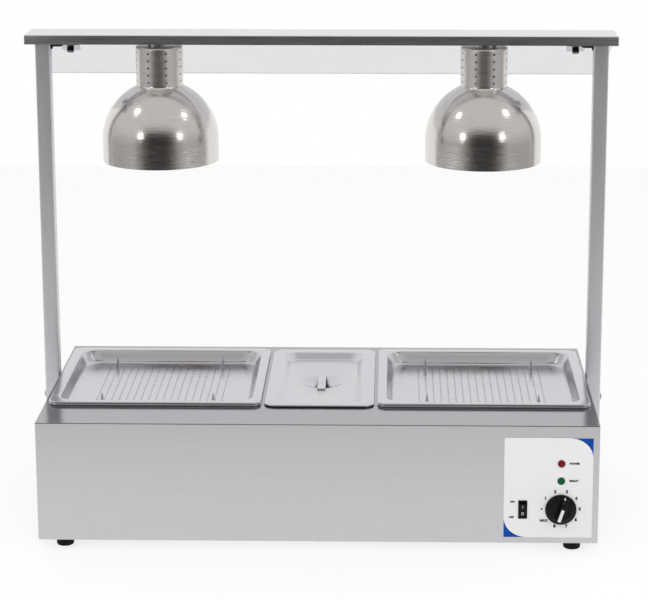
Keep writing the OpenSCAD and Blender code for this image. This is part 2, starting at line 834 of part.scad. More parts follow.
// Heating
module heating_element() {
    z = element_z;
    path = [
        [element_in_x, element_end, z], [element_in_x, element_y, z], [element_side, element_y, z],
        [element_side, element_rear, z], [-element_side, element_rear, z],
        [-element_side, element_y, z], [element_out_x, element_y, z], [element_out_x, element_end, z]
    ];
    color("#4b4743") centred() tube(route(path, element_bend), element_d, 10);
}
module element_glands() {
    color(brass_colour) centred() for (x = [element_in_x, element_out_x])
        translate([x, well_front + sheet + gland_rim, element_z]) rotate([90, 0, 0]) difference() {
            union() {
                cylinder(d = gland_nut_d, h = gland_rim);
                cylinder(d = element_collar_d, h = sheet + gland_rim);
                translate([0, 0, sheet + gland_rim]) cylinder(d = gland_nut_d, h = gland_hex, $fn = 6);
            }
            translate([0, 0, -1])
                cylinder(d = element_d + element_slip, h = sheet + gland_rim + gland_hex + 2);
        }
}
module element_brackets() {
    leg_w = 18;
    leg_t = 1.5;
    color(bright_colour) centred() for (x = [-0.75, -0.4, 0, 0.4], y = [element_y, element_rear])
        translate([x * element_side, y - leg_w / 2, well_z + sheet]) difference() {
            union() {
                cube([leg_t, leg_w, element_rise + element_d]);
                cube([12, leg_w, leg_t]);
            }
            along_x(-1, leg_w / 2, element_rise) cylinder(d = element_d + element_slip, h = leg_t + 2);
        }
}
module sensor() {
    start = sheet + thermostat_d;
    path = [[knob_x, start, sensor_z], [knob_x, sensor_y, sensor_z], [sensor_x, sensor_y, sensor_z]];
    color(brass_colour) centred() {
        tube(route(path, capillary_bend), capillary_d);
        along_x(sensor_x - sensor_len, sensor_y, sensor_z) cylinder(d = sensor_d, h = sensor_len + 1);
    }
}
module sensor_clip() {
    clip_w = 20;
    clip_h = sensor_d + 8;
    clip_y = sensor_y - sensor_d / 2 - 3;
    color(bright_colour) centred() difference() {
        translate([sensor_x - sensor_len / 2, clip_y, sensor_z - clip_h / 2])
            block(clip_w, well_front - clip_y, clip_h);
        along_x(sensor_x - sensor_len, sensor_y, sensor_z) cylinder(d = sensor_d + hole_gap, h = sensor_len);
    }
}
module terminal_block() {
    way_pitch = block_w / block_ways;
    color(white_colour) centred() translate([block_x, block_y, base_top]) difference() {
        block(block_w, block_d, block_h);
        for (k = [0:block_ways - 1]) {
            x = (k + 0.5) * way_pitch - block_w / 2;
            translate([x, block_d / 2, block_h - block_screw_h])
                cylinder(d = block_screw_d, h = block_screw_h + 1);
            translate([x, -1, block_h - entry_drop]) rotate([-90, 0, 0]) cylinder(d = wire_d + 1, h = 5);
        }
    }
}
module earth_stud() {
    color(brass_colour) centred() translate([block_x - block_w, block_y + block_d / 2, base_top]) {
        cylinder(d = earth_washer_d, h = earth_washer_t);
        cylinder(d = bolt_d, h = earth_h);
        translate([0, 0, earth_nut_z]) cylinder(d = earth_nut_d, h = nut_h, $fn = 6);
    }
}
module wiring() {
    entry_z = base_top + block_h - entry_drop;
    entry_y = block_y - wire_gap;
    step = block_w / block_ways;
    switch_end = [switch_x, switch_depth + blade_h + wire_gap, switch_z - switch_blade_drop];
    stat_y = sheet + thermostat_d + blade_h + wire_gap;
    stat_end = [stat_blade_x + blade_t / 2, stat_y, knob_z - stat_blade_drop];
    switch_turn = switch_end + [0, switch_run, 0];
    stat_turn = stat_end + [0, stat_run, 0];
    in_x = block_x + 2.5 * step;
    out_x = block_x - 1.5 * step;
    loop_y = entry_y - loop_run;
    colours = ["#5b3a22", "#2b4f9e", "#202020"];
    runs = [
        [switch_end, switch_turn, [in_x, switch_turn[1], switch_turn[2]],
            [in_x, entry_y - entry_run, entry_z], [in_x, entry_y, entry_z]],
        [stat_end, stat_turn, [element_in_x, stat_turn[1], stat_turn[2]],
            [element_in_x, element_end - entry_run, element_z],
            [element_in_x, element_end - wire_gap, element_z]],
        [[out_x, entry_y, entry_z], [out_x, loop_y, entry_z], [out_x, loop_y, element_z],
            [element_out_x, loop_y, element_z], [element_out_x, element_end - wire_gap, element_z]]
    ];
    centred() for (k = [0:len(runs) - 1])
        color(colours[k]) tube(route(runs[k], wire_bend, 4), wire_d);
}
module cable_gland() {
    hex_t = 5;
    color(black_colour) centred() translate([supply_x, body_d - sheet - gland_in, supply_z])
        rotate([-90, 0, 0]) difference() {
            union() {
                cylinder(d = gland_thread, h = gland_in + sheet + hex_t);
                translate([0, 0, gland_in + sheet]) cylinder(d = gland_thread + 8, h = hex_t, $fn = 6);
                translate([0, 0, gland_in + sheet + hex_t])
                    cylinder(d1 = gland_thread + 4, d2 = gland_thread - 3, h = gland_out - hex_t);
            }
            translate([0, 0, -1]) cylinder(d = gland_bore, h = gland_in + sheet + gland_out + 2);
        }
}
module gland_nut() {
    color(black_colour) centred() translate([supply_x, body_d - sheet, supply_z]) rotate([90, 0, 0])
        hex_nut(gland_thread + 8, gland_thread + run_gap, nut_h);
}

// Pans
module drip_pan(x) {
    color(bright_colour) centred() translate([x, pan_y, pan_top])
        pressed_pan(large_pan_w, pan_d, large_body_w, pan_body_d, drip_depth);
}
module carving_tray(x) {
    cells = [0:drain_count - 1];
    color(bright_colour) centred() translate([x, pan_y, tray_top]) difference() {
        pressed_pan(large_pan_w, pan_d, large_body_w - 2 * nest, pan_body_d - 2 * nest, tray_depth);
        for (i = cells, j = cells)
            if (!is_spike(i, j))
                translate([i * drain_pitch - drain_first, j * drain_pitch - drain_first, -tray_depth - 1])
                    cylinder(d = drain_hole_d, h = pan_t + 2);
    }
}
function is_spike(i, j) = (i == 1 || i == drain_count - 2) && (j == 0 || j == drain_count - 1);
module spikes(x) {
    color(bright_colour) centred() for (i = [-1, 1], j = [-1, 1])
        translate([x + i * spike_x, pan_y + j * spike_y, tray_floor])
            cylinder(d1 = spike_d, d2 = spike_tip_d, h = spike_h);
}
module pan_middle() {
    color(bright_colour) centred() translate([0, pan_y, pan_top])
        pressed_pan(small_pan_w, pan_d, small_body_w, pan_body_d, small_pan_depth);
}
module lid() {
    w = small_pan_w + 2 * lid_over;
    d = pan_d + 2 * lid_over;
    r = flange_r + lid_over;
    color(bright_colour) centred() translate([0, pan_y, lid_top]) {
        difference() {
            union() {
                translate([0, 0, -lid_t]) linear_extrude(lid_t) rounded(w, d, r);
                translate([0, 0, -lid_recess - lid_t]) linear_extrude(lid_recess)
                    rounded(lid_recess_w, lid_recess_d, lid_recess_r);
                translate([0, 0, -lid_rim_h]) linear_extrude(lid_rim_h) difference() {
                    rounded(w, d, r);
                    rounded(w - 2 * lid_t, d - 2 * lid_t, r - lid_t);
                }
            }
            translate([0, 0, -lid_recess]) linear_extrude(lid_recess + 1)
                rounded(lid_recess_w - 2 * lid_t, lid_recess_d - 2 * lid_t, lid_recess_r - lid_t);
            translate([0, 0, -lid_recess - lid_t - 1]) cylinder(d = dimple_d, h = lid_t + 2);
        }
        translate([0, 0, -lid_recess]) rotate_extrude() intersection() {
            translate([0, dimple_r - dimple_depth]) difference() {
                circle(dimple_r + lid_t);
                circle(dimple_r);
            }
            translate([0, -2 * dimple_depth]) square([dimple_d / 2 + lid_t, 2 * dimple_depth]);
        }
    }
}
module lid_strap() {
    length = dimple_d + 2 * strap_land;
    color(bright_colour) centred() translate([0, pan_y - length / 2, lid_panel])
        block(strap_w, length, strap_t);
}

// Posts and shelf
module post(side) {
    inner = post_side - 2 * post_wall;
    length = shelf_under - post_z;
    color(steel_colour) centred() flip_x(side) difference() {
        translate([post_mid, post_y, post_z]) linear_extrude(length) difference() {
            square(post_side, center = true);
            square(inner, center = true);
        }
        for (z = [cable_low_z, cable_high_z])
            along_x(half_w - 1, lead_y, z) cylinder(d = cable_hole, h = post_wall + 2);
        for (z = post_bolt_zs)
            along_x(half_w - 1, post_y, z) cylinder(d = bolt_d + hole_gap, h = post_side + 2);
    }
}
module post_caps() {
    plug = post_side - 2 * post_wall - hole_gap;
    color(black_colour) centred() both_sides() translate([post_mid, post_y, post_z - cap_t]) {
        linear_extrude(cap_t) square(post_side, center = true);
        linear_extrude(cap_plug) square(plug, center = true);
    }
}
module post_bolts() {
    color(steel_colour) centred() both_sides() for (z = post_bolt_zs)
        translate([half_w + post_side, post_y, z]) rotate([0, -90, 0])
            screw(bolt_d, post_side + sheet + nut_h + 2, 1.8 * bolt_d, bolt_head_h);
}
module post_nuts() {
    color(steel_colour) centred() both_sides() for (z = post_bolt_zs)
        along_x(half_w - sheet - nut_h, post_y, z) hex_nut(1.9 * bolt_d, bolt_d + run_gap, nut_h);
}
module grommets() {
    sleeve = cable_hole - hole_gap;
    color(black_colour) centred() both_sides() {
        along_x(half_w - sheet - grommet_rim, lead_y, cable_low_z) grommet(sleeve, sheet + post_wall);
        along_x(half_w - grommet_rim, lead_y, cable_high_z) grommet(sleeve, post_wall);
    }
}
module grommet(sleeve, depth) {
    difference() {
        union() {
            cylinder(d = sleeve + 4, h = grommet_rim);
            cylinder(d = sleeve, h = grommet_rim + depth);
        }
        translate([0, 0, -1]) cylinder(d = grommet_bore, h = grommet_rim + depth + 2);
    }
}
module lamp_leads() {
    shelf_z = cable_high_z + 2 * lead_bend + wire_gap;
    turn_x = half_w - 3 * lead_bend;
    rise_x = half_w - 2 * fold;
    color(black_colour) centred() both_sides() {
        path = [
            [block_x * 0.5, block_y + block_d + wire_gap, lead_z], [block_x * 0.5, lead_y, lead_z],
            [rise_x, lead_y, lead_z], [rise_x, lead_y, cable_low_z],
            [post_mid, lead_y, cable_low_z], [post_mid, lead_y, cable_high_z],
            [turn_x, lead_y, cable_high_z], [turn_x, lead_y, shelf_z],
            [large_x + lead_x_off, lead_y, shelf_z], [large_x + lead_x_off, lead_y, holder_top]
        ];
        tube(route(path, lead_bend), lead_d);
    }
}
module shelf() {
    color(steel_colour) centred() translate([0, post_y - shelf_d / 2, shelf_under])
        block(shelf_w, shelf_d, sheet);
}
module shelf_edges() {
    edge_h = shelf_h - sheet;
    end_y = sheet + seam_gap;
    color(steel_colour) centred() translate([0, post_y - shelf_d / 2, shelf_edge_z]) {
        for (y = [0, shelf_d - sheet])
            translate([0, y, 0]) block(shelf_w, sheet, edge_h);
        for (side = [-1, 1])
            translate([side * (shelf_w - sheet) / 2, end_y, 0]) block(sheet, shelf_d - 2 * end_y, edge_h);
    }
}

// Guard
module guard() {
    color([0.86, 0.88, 0.9, 0.35]) centred() guard_plane() difference() {
        block(guard_w, guard_len, guard_t);
        for (side = [-1, 1])
            translate([side * guard_x, guard_hole_y, -1])
                cylinder(d = foot_screw_d + hole_gap, h = guard_t + 2);
    }
}
module guard_brackets() {
    leg_y = post_y + shelf_d / 2 - sheet - bracket_t;
    leg_run = (guard_y - leg_y - bracket_t / 2) / cos(guard_tilt);
    leg_z = guard_z + (guard_y - leg_y) * tan(guard_tilt) - 2 * bracket_t;
    color(steel_colour) centred() both_sides() difference() {
        union() {
            guard_plane() translate([guard_x, -leg_run, -bracket_t])
                block(bracket_w, leg_run + bracket_leg, bracket_t);
            translate([guard_x, leg_y, leg_z]) block(bracket_w, bracket_t, shelf_under - leg_z);
        }
        guard_plane() translate([guard_x, guard_hole_y, -bracket_t - 1])
            cylinder(d = foot_screw_d + hole_gap, h = bracket_t + 2);
    }
}
module guard_screws() {
    shank = guard_t + bracket_t + guard_nut_h * 0.7;
    color(steel_colour) centred() both_sides() guard_plane()
        translate([guard_x, guard_hole_y, guard_t]) rotate([180, 0, 0])
            screw(foot_screw_d, shank, 1.9 * foot_screw_d, guard_head_h);
}
module guard_nuts() {
    color(black_colour) centred() both_sides() guard_plane()
        translate([guard_x, guard_hole_y, -bracket_t - guard_nut_h]) difference() {
            cylinder(d = guard_nut_d, h = guard_nut_h);
            translate([0, 0, guard_nut_h * 0.25])
                cylinder(d = foot_screw_d + run_gap, h = guard_nut_h);
        }
}

// Lamps
module bell_outline(inset) {
    r = bell_r - inset;
    square([r, skirt_h]);
    translate([0, skirt_h]) intersection() {
        circle(r);
        square(r);
    }
    square([neck_d / 2 - inset, shade_h - inset]);
}
module lamp_shade(x) {
    color(bright_colour) centred() translate([x, post_y, rim_z]) difference() {
        rotate_extrude() difference() {
            bell_outline(0);
            bell_outline(shade_t);
        }
        translate([0, 0, shade_h - shade_t - 1]) cylinder(d = stem_d + hole_gap, h = shade_t + 2);
        lead_hole(x);
        for (row = [0:vent_rows - 1], k = [0:vent_cols / 2 - 1])
            translate([0, 0, shade_h - vent_top - row * vent_pitch])
                rotate([90, 0, (k + 0.5) * 360 / vent_cols])
                    cylinder(d = vent_d, h = neck_d + 4, center = true);
    }
}
module lead_hole(x) {
    translate([sign(x) * lead_x_off, lead_y_off, shade_h - shade_t - 1])
        cylinder(d = lead_d + hole_gap, h = shade_t + 2);
}
module lamp_holders() {
    color("#e8e4da") centred() both_sides() translate([large_x, post_y, holder_z]) difference() {
        cylinder(d = holder_d, h = holder_h);
        translate([0, 0, holder_h - stem_bite]) cylinder(d = stem_d + run_gap, h = stem_bite + 1);
        translate([0, 0, -1]) cylinder(d = bulb_base_d + 2 * hole_gap, h = bulb_base_h + 2);
    }
}
module bulb(x) {
    color("#d8b9b0") centred() translate([x, post_y, bulb_z]) rotate_extrude() difference() {
        bulb_outline(0, bulb_h);
        bulb_outline(bulb_t, bulb_h + 1);
    }
}
module bulb_outline(inset, top) {
    throat = bulb_base_d / 2 - inset;
    widest = bulb_d / 2 - inset;
    glass_h = bulb_h - bulb_base_h;
    polygon([
        [0, inset], [widest * 0.7, 3 + inset], [widest * 0.93, 9 + inset], [widest, 20], [widest, 28],
        [throat + 5, glass_h - 12], [throat - 1, glass_h - 3], [throat, glass_h], [throat, top], [0, top]
    ]);
}
module lamp_stems() {
    reach = shelf_under - (holder_top - stem_bite + 1);
    color(steel_colour) centred() both_sides() translate([large_x, post_y, shelf_under - reach]) {
        cylinder(d = stem_d, h = reach);
        translate([0, 0, reach - stem_flange_t]) cylinder(d = stem_flange_d, h = stem_flange_t);
    }
}
module lamp_nuts() {
    color(steel_colour) centred() both_sides() for (z = [neck_top, neck_top - shade_t - lamp_nut_h])
        translate([large_x, post_y, z]) hex_nut(lamp_nut_d, stem_d + run_gap, lamp_nut_h);
}

body_wrap();
deck();
rear_panel();
base_plate();
well();
divider_bar(-bar_x);  // divider_bar_left
divider_bar(bar_x);  // divider_bar_right
feet();
foot_screws();
panel_screws();
control_plate();
knob();
knob_pointer();
spindle();
thermostat();
thermostat_screws();
sensor();
sensor_clip();
indicator(red_v, "#a3182a");  // indicator_red
indicator(green_v, "#0f7a3d");  // indicator_green
indicator_sleeves();
switch_housing();
rocker();
heating_element();
element_glands();
element_brackets();
terminal_block();
earth_stud();
wiring();
cable_gland();
gland_nut();
drip_pan(-large_x);  // drip_pan_left
drip_pan(large_x);  // drip_pan_right
carving_tray(-large_x);  // carving_tray_left
carving_tray(large_x);  // carving_tray_right
spikes(-large_x);  // spikes_left
spikes(large_x);  // spikes_right
pan_middle();
lid();
lid_strap();
post(-1);  // post_left
post(1);  // post_right
post_caps();
post_bolts();
post_nuts();
grommets();
lamp_leads();
shelf();
shelf_edges();
guard();
guard_brackets();
guard_screws();
guard_nuts();
lamp_shade(-large_x);  // lamp_shade_left
lamp_shade(large_x);  // lamp_shade_right
lamp_holders();
bulb(-large_x);  // bulb_left
bulb(large_x);  // bulb_right
lamp_stems();
lamp_nuts();
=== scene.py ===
# %% [markdown]
# # A heated carving station
# A stainless casing carries two perforated carving trays and a lidded pan over a heated well. Two square
# posts hold a shelf, and from it hang two spun steel lamps and a clear guard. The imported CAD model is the
# fixed frame. This lesson gives each of its pieces a finish and remakes the pressed, spun and moulded ones
# as smooth surfaces.

# %% Load the frame
import json
import math

import bmesh
import bpy
import numpy as np
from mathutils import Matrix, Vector

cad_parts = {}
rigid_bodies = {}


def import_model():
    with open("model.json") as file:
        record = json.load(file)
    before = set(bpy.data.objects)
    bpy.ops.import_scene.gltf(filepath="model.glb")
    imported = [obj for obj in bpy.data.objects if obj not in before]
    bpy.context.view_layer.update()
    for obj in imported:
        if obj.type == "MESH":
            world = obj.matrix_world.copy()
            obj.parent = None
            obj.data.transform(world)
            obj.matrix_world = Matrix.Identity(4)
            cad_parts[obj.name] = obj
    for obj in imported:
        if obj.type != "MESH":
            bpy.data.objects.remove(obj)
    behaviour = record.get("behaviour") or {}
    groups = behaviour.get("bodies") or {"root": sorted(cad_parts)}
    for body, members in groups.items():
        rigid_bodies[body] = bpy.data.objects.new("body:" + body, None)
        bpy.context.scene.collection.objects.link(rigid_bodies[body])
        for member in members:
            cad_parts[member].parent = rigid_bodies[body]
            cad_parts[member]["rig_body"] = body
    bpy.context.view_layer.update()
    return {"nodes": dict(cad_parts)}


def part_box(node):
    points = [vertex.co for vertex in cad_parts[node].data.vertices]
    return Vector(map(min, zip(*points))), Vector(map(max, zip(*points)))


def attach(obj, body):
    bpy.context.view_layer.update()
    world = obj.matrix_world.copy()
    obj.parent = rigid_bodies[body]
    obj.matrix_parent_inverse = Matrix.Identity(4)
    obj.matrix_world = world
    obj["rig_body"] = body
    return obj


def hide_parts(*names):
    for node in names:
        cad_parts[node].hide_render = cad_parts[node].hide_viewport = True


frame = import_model()
NODES = frame["nodes"]
MM = 0.001

# %% [markdown]
# ## Colours and nodes
# Paint charts and screens give colours as sRGB codes, while a shader works with linear light. One function
# turns the code into light, and one adds a node with its settings and links, so that every finish below
# reads as a short recipe.

# %% Colour, node and finish helpers
def light(code):
    """Linear colour of an sRGB code: c / 12.92 up to 0.04045, and ((c + 0.055) / 1.055) ^ 2.4 above it."""
    c = np.array([int(code[i:i + 2], 16) for i in (1, 3, 5)]) / 255
    return (*np.where(c <= 0.04045, c / 12.92, ((c + 0.055) / 1.055) ** 2.4), 1.0)


def add(tree, kind, links=None, values=None, **settings):
    """Adds a node: settings are its properties, values its plain sockets and links its linked ones."""
    node = tree.nodes.new(kind)
    for key, value in settings.items():
        setattr(node, key, value)
    for key, value in (values or {}).items():
        node.inputs[key].default_value = value
    for key, output in (links or {}).items():
        tree.links.new(output, node.inputs[key])
    return node


# Each finer octave of the noise has this share of the last, and most of the noise lies within this span.
NOISE_FADE = 0.6
NOISE_SPAN = (0.3, 0.7)


def finish(name, size_mm, colours, roughness, relief_mm=0.0, metallic=0.0, detail=3.0, **sockets):
    """A Principled finish that noise on Object coordinates varies. size_mm is the pattern's size, and three
    sizes along X, Y and Z draw it out into brushing. Colour and roughness run between their two ends, and
    the same noise lifts the surface by relief_mm. Other sockets take plain numbers."""
    made = bpy.data.materials.new(name)
    made.use_nodes = True
    tree = made.node_tree
    shader = tree.nodes["Principled BSDF"]
    shader.inputs["Metallic"].default_value = metallic
    for key, value in sockets.items():
        shader.inputs[key.replace("_", " ")].default_value = value
    place = add(tree, "ShaderNodeTexCoord")
    stretch = add(tree, "ShaderNodeMapping", {"Vector": place.outputs["Object"]},
                  {"Scale": 1 / (np.broadcast_to(size_mm, 3) * MM)})
    noise = add(tree, "ShaderNodeTexNoise", {"Vector": stretch.outputs["Vector"]},
                {"Scale": 1.0, "Detail": detail, "Roughness": NOISE_FADE})
    tint = add(tree, "ShaderNodeMix", {"Factor": noise.outputs["Fac"]},
               {6: light(colours[0]), 7: light(colours[1])}, data_type="RGBA")
    rough = add(tree, "ShaderNodeMapRange", {"Value": noise.outputs["Fac"]},
                {"From Min": NOISE_SPAN[0], "From Max": NOISE_SPAN[1],
                 "To Min": roughness[0], "To Max": roughness[1]})
    tree.links.new(tint.outputs[2], shader.inputs["Base Color"])
    tree.links.new(rough.outputs["Result"], shader.inputs["Roughness"])
    if relief_mm:
        bump = add(tree, "ShaderNodeBump", {"Height": noise.outputs["Fac"]},
                   {"Distance": relief_mm * MM})
        tree.links.new(bump.outputs["Normal"], shader.inputs["Normal"])
    return made


# %% [markdown]
# ## Stainless steel
# All the sheet is the same stainless steel. What differs is how each piece was finished: the casing is
# brushed along its length, the posts along their height, the deck is rolled bright, the pans are pressed
# from bright sheet and the lamps are spun and polished. Brushing is fine scratches in one direction, so the
# noise is drawn out along it. Real scratches are about 0.1 mm wide, too fine for this picture, and are drawn
# about 1 mm wide.

# %% Steel finishes
BRUSH_WIDE = 1.1
BRUSH_LONG = 90.0
BRUSHED_ALONG = (BRUSH_LONG, BRUSH_WIDE, BRUSH_WIDE)
BRUSHED_UP = (BRUSH_WIDE, BRUSH_WIDE, BRUSH_LONG)

# Even satin grey with fine level lines.
casing_steel = finish("brushed_stainless_casing", BRUSHED_ALONG, ("#c8c6c9", "#dcdadd"), (0.38, 0.46),
                      0.002, 1.0)
# Softer and lighter, with fine upright lines.
post_steel = finish("brushed_stainless_post", BRUSHED_UP, ("#dad9dd", "#e4e3e7"), (0.44, 0.52),
                    0.002, 1.0)
# Darker satin that shows the dim room along the fascia.
shelf_steel = finish("brushed_stainless_shelf", BRUSHED_ALONG, ("#d6d6d9", "#e2e2e5"), (0.25, 0.35),
                     0.002, 1.0)
# Near mirror in which the posts and pans show.
deck_steel = finish("bright_rolled_stainless", BRUSHED_ALONG, ("#98989c", "#a5a5a9"), (0.10, 0.18),
                    0.001, 1.0)
# Soft bright sheet with a slight waviness from the press.
pan_steel = finish("pressed_stainless_pan", 40, ("#c4c4c8", "#cdcdd1"), (0.20, 0.28), 0.003, 1.0, detail=1.0)
# Bright polish that mirrors the room, with the ripples that spinning leaves round it, which break up what it
# mirrors. Real ripples are finer than this picture shows, so they are drawn wider and higher.
spun_steel = finish("spun_polished_stainless", (18.0, 18.0, 2.4), ("#d2cecb", "#e2dfdc"), (0.13, 0.21),
                    0.2, 1.0)
# Fine level lines that blur what the neck mirrors.
neck_steel = finish("brushed_stainless_neck", (30.0, 30.0, 1.6), ("#d2cecb", "#e4e1de"), (0.28, 0.36),
                    0.03, 1.0)
# Bluish bright plate with a fine crystal grain.
zinc_steel = finish("bright_zinc_plate", 2, ("#aeb1b5", "#c4c7cb"), (0.22, 0.4), 0.01, 1.0)
# Dull dark line of a sheared or punched edge, made darker still as painted shade: the shadow in the
# seam along the deck's rim and the shade inside the trays' holes.
sheared_edge_and_shade = finish("sheared_edge_and_painted_shade", (3, 3, 1), ("#4e4d4f", "#646365"), (0.5, 0.65), 0.01, 1.0)
# Brown-black heat tint.
dull_steel = finish("oxidised_steel_sheath", 6, ("#3a3633", "#5b5550"), (0.4, 0.6), 0.02, 0.9)
print("steel finishes:", len(bpy.data.materials))

# %% [markdown]
# ## Plastic, rubber, film and glass
# The knob and switch are moulded ABS with a fine spark-eroded grain, the feet are rubber, the control plate
# carries a printed film and the guard is clear acrylic. Each starts from the usual index of refraction and
# roughness of its material.

# %% Other finishes
# Deep black with a soft sheen and a fine grain.
black_abs = finish("moulded_black_abs", 0.6, ("#070708", "#0c0c0d"), (0.24, 0.36), 0.01, IOR=1.53,
                   Specular_IOR_Level=0.14)
# Black without a sheen.
black_rubber = finish("moulded_black_rubber", 0.9, ("#060606", "#0b0b0b"), (0.6, 0.8), 0.03,
                      IOR=1.52, Specular_IOR_Level=0.2)
# Cool white with a satin face.
white_film = finish("printed_white_film", 25, ("#e9e9eb", "#eeeef0"), (0.30, 0.38), 0.004, IOR=1.5)
# Strong blue of the film's corners.
blue_ink = finish("blue_film_ink", 18, ("#00439a", "#044ca4"), (0.30, 0.38), 0.002, IOR=1.5,
                  Specular_IOR_Level=0.15)
# Black print, a little uneven.
black_ink = finish("black_film_ink", 1.5, ("#050506", "#0b0b0d"), (0.35, 0.45), 0.001, IOR=1.5,
                   Specular_IOR_Level=0.25)
# Plain white moulding.
white_abs = finish("moulded_white_abs", 0.8, ("#dddcda", "#eae9e7"), (0.3, 0.42), 0.008, IOR=1.53)
# Deep red and green that let some light into the lens.
red_lens = finish("red_polycarbonate_lens", 3, ("#6a000d", "#88081b"), (0.16, 0.26), 0.01, IOR=1.58,
                  Transmission_Weight=0.12, Specular_IOR_Level=0.12)
green_lens = finish("green_polycarbonate_lens", 3, ("#004a28", "#006a3d"), (0.16, 0.26), 0.01,
                    IOR=1.58, Transmission_Weight=0.12, Specular_IOR_Level=0.12)
# Clear sheet that shows by its edges and a faint grey.
clear_acrylic = finish("clear_cast_acrylic", 120, ("#d8d9dc", "#dedfe1"), (0.0, 0.04), IOR=1.49,
                       Transmission_Weight=1.0)
# Pale, half-clear edge that the saw leaves.
acrylic_edge = finish("sawn_acrylic_edge", 2, ("#dde2e2", "#e9eded"), (0.4, 0.5), 0.01, IOR=1.49,
                      Transmission_Weight=0.3)
# Milky glass with a warm tint.
bulb_glass = finish("frosted_red_glass", 4, ("#c09c92", "#d3b3a9"), (0.28, 0.42), 0.02, IOR=1.52,
                    Transmission_Weight=0.25)
# Cream glaze.
porcelain = finish("glazed_porcelain", 8, ("#dfd8ca", "#ebe6da"), (0.12, 0.24), 0.02, IOR=1.55)
# Yellow metal with turning lines.
brass = finish("turned_brass", (4, 4, 0.8), ("#ab8a50", "#c6a468"), (0.24, 0.4), 0.01, 1.0)
# Red metal with drawing lines.
copper = finish("drawn_copper", (8, 1, 1), ("#9d6144", "#bf7e5c"), (0.26, 0.4), 0.01, 1.0)
# Black sheath of the leads.
black_pvc = finish("black_pvc_sheath", 3, ("#0d0d0d", "#171717"), (0.38, 0.52), 0.02, IOR=1.53)
print("finishes made:", len(bpy.data.materials))

# %% [markdown]
# ## Surfaces from loops
# A pressed pan, a spun lamp and a turned knob are all a closed loop carried along a profile. Each shape is
# worked out as a grid of points, loop after loop, and put into a mesh in one go. Sheet metal is drawn as its
# seen face and given its thickness by Solidify, which also walls every hole.

# %% Loop and mesh helpers
def box_mm(node):
    """Lowest and highest corner of a node, in millimetres."""
    return [np.array(corner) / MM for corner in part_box(node)]


def middle_mm(node):
    """Middle of a node's box, in millimetres."""
    return sum(box_mm(node)) / 2


def rounded_loop(width, depth, radius, straight, corner):
    """Closed loop of a rounded rectangle, counter-clockwise from the middle of its lower right arc. Corner
    k is an arc of corner steps about (w / 2 - r, d / 2 - r), and each side a line of straight steps."""
    reach = np.array([width / 2 - radius, depth / 2 - radius])
    signs = np.array([[1, -1], [1, 1], [-1, 1], [-1, -1]])
    t = np.linspace(0, 1, straight + 1)[1:-1, None]
    runs = []
    for k in range(4):
        a = np.radians(90 * k - 90 + np.linspace(0, 90, corner + 1))
        arc = signs[k] * reach + radius * np.column_stack([np.cos(a), np.sin(a)])
        following = arc[-1] + (signs[(k + 1) % 4] - signs[k]) * reach
        runs += [arc, arc[-1] * (1 - t) + following * t]
    return np.roll(np.vstack(runs), -(corner // 2), axis=0)


def square_loop(side, steps):
    """Closed loop of a square, counter-clockwise from its lower right corner, steps points to a side."""
    t = np.arange(steps) / steps * side - side / 2
    half = np.full(steps, side / 2)
    return np.vstack([np.column_stack(run) for run in ((half, t), (-t, half), (-half, -t), (t, -half))])


def ring(radius, count):
    """Closed circle of count points, counter-clockwise from the lower right diagonal."""
    a = np.radians(np.arange(count) * 360 / count - 45)
    return radius * np.column_stack([np.cos(a), np.sin(a)])


def at_height(loop, z):
    """A flat loop lifted to the height z."""
    return np.column_stack([loop, np.full(len(loop), z)])


def strips(rows, closed=True):
    """Vertices and quads of a grid: place i of row r joins place i + 1 and row r + 1."""
    rows = np.asarray(rows)
    index = np.arange(rows.shape[0] * rows.shape[1]).reshape(rows.shape[:2])
    near, far = (index, np.roll(index, -1, axis=1)) if closed else (index[:, :-1], index[:, 1:])
    quads = np.stack([near[:-1], far[:-1], far[1:], near[1:]], axis=-1)
    return rows.reshape(-1, 3), quads.reshape(-1, 4)


def cap(loop, centre=None):
    """Closes a loop with triangles to its centre. A triangle repeats its last point as a quad's fourth."""
    middle = loop.mean(axis=0) if centre is None else np.asarray(centre)
    i = np.arange(len(loop))
    hub = np.full(len(loop), len(loop))
    return np.vstack([loop, middle]), np.column_stack([i, np.roll(i, -1), hub, hub])


def capped(rows):
    """A tube of rows with both its ends closed."""
    return [strips(rows), cap(rows[-1]), cap(rows[0])]


def turned(profile, angles):
    """Rows of a turned piece: radius * (cos a, sin a) at each profile point's height."""
    profile = np.asarray(profile)
    round_about = np.column_stack([np.cos(angles), np.sin(angles)])
    flat = profile[:, None, :1] * round_about[None]
    return np.dstack([flat, np.broadcast_to(profile[:, None, 1:], (len(profile), len(angles), 1))])


def bend_arc(centre, radius, start, end, steps=6):
    """Points centre + radius * (cos a, sin a) of a profile's round stretch, angles in degrees."""
    a = np.radians(np.linspace(start, end, steps + 1))
    return np.column_stack([centre[0] + radius * np.cos(a), centre[1] + radius * np.sin(a)])


def in_scene(name, data):
    """A new object with this data, linked to the scene."""
    thing = bpy.data.objects.new(name, data)
    bpy.context.scene.collection.objects.link(thing)
    return thing


def final_mesh(thing):
    """A new mesh of what an object's text or modifiers make."""
    bpy.context.view_layer.update()
    return bpy.data.meshes.new_from_object(thing.evaluated_get(bpy.context.evaluated_depsgraph_get()))


def read(items, what, columns, kind=float):
    """One property of all the items of a mesh, as rows of that many columns."""
    values = np.zeros(len(items) * columns, kind)
    items.foreach_get(what, values)
    return values.reshape(-1, columns)


SAME_POINT = 1e-7


def weld(parts):
    """Joins (vertices, quads) parts and merges the points that fall together."""
    points = np.vstack([p for p, _ in parts])
    starts = np.cumsum([0] + [len(p) for p, _ in parts[:-1]])
    quads = np.vstack([q + s for (_, q), s in zip(parts, starts)])
    _, first, same = np.unique(np.round(points / SAME_POINT).astype(np.int64), axis=0,
                               return_index=True, return_inverse=True)
    return points[first], same.reshape(-1)[quads]


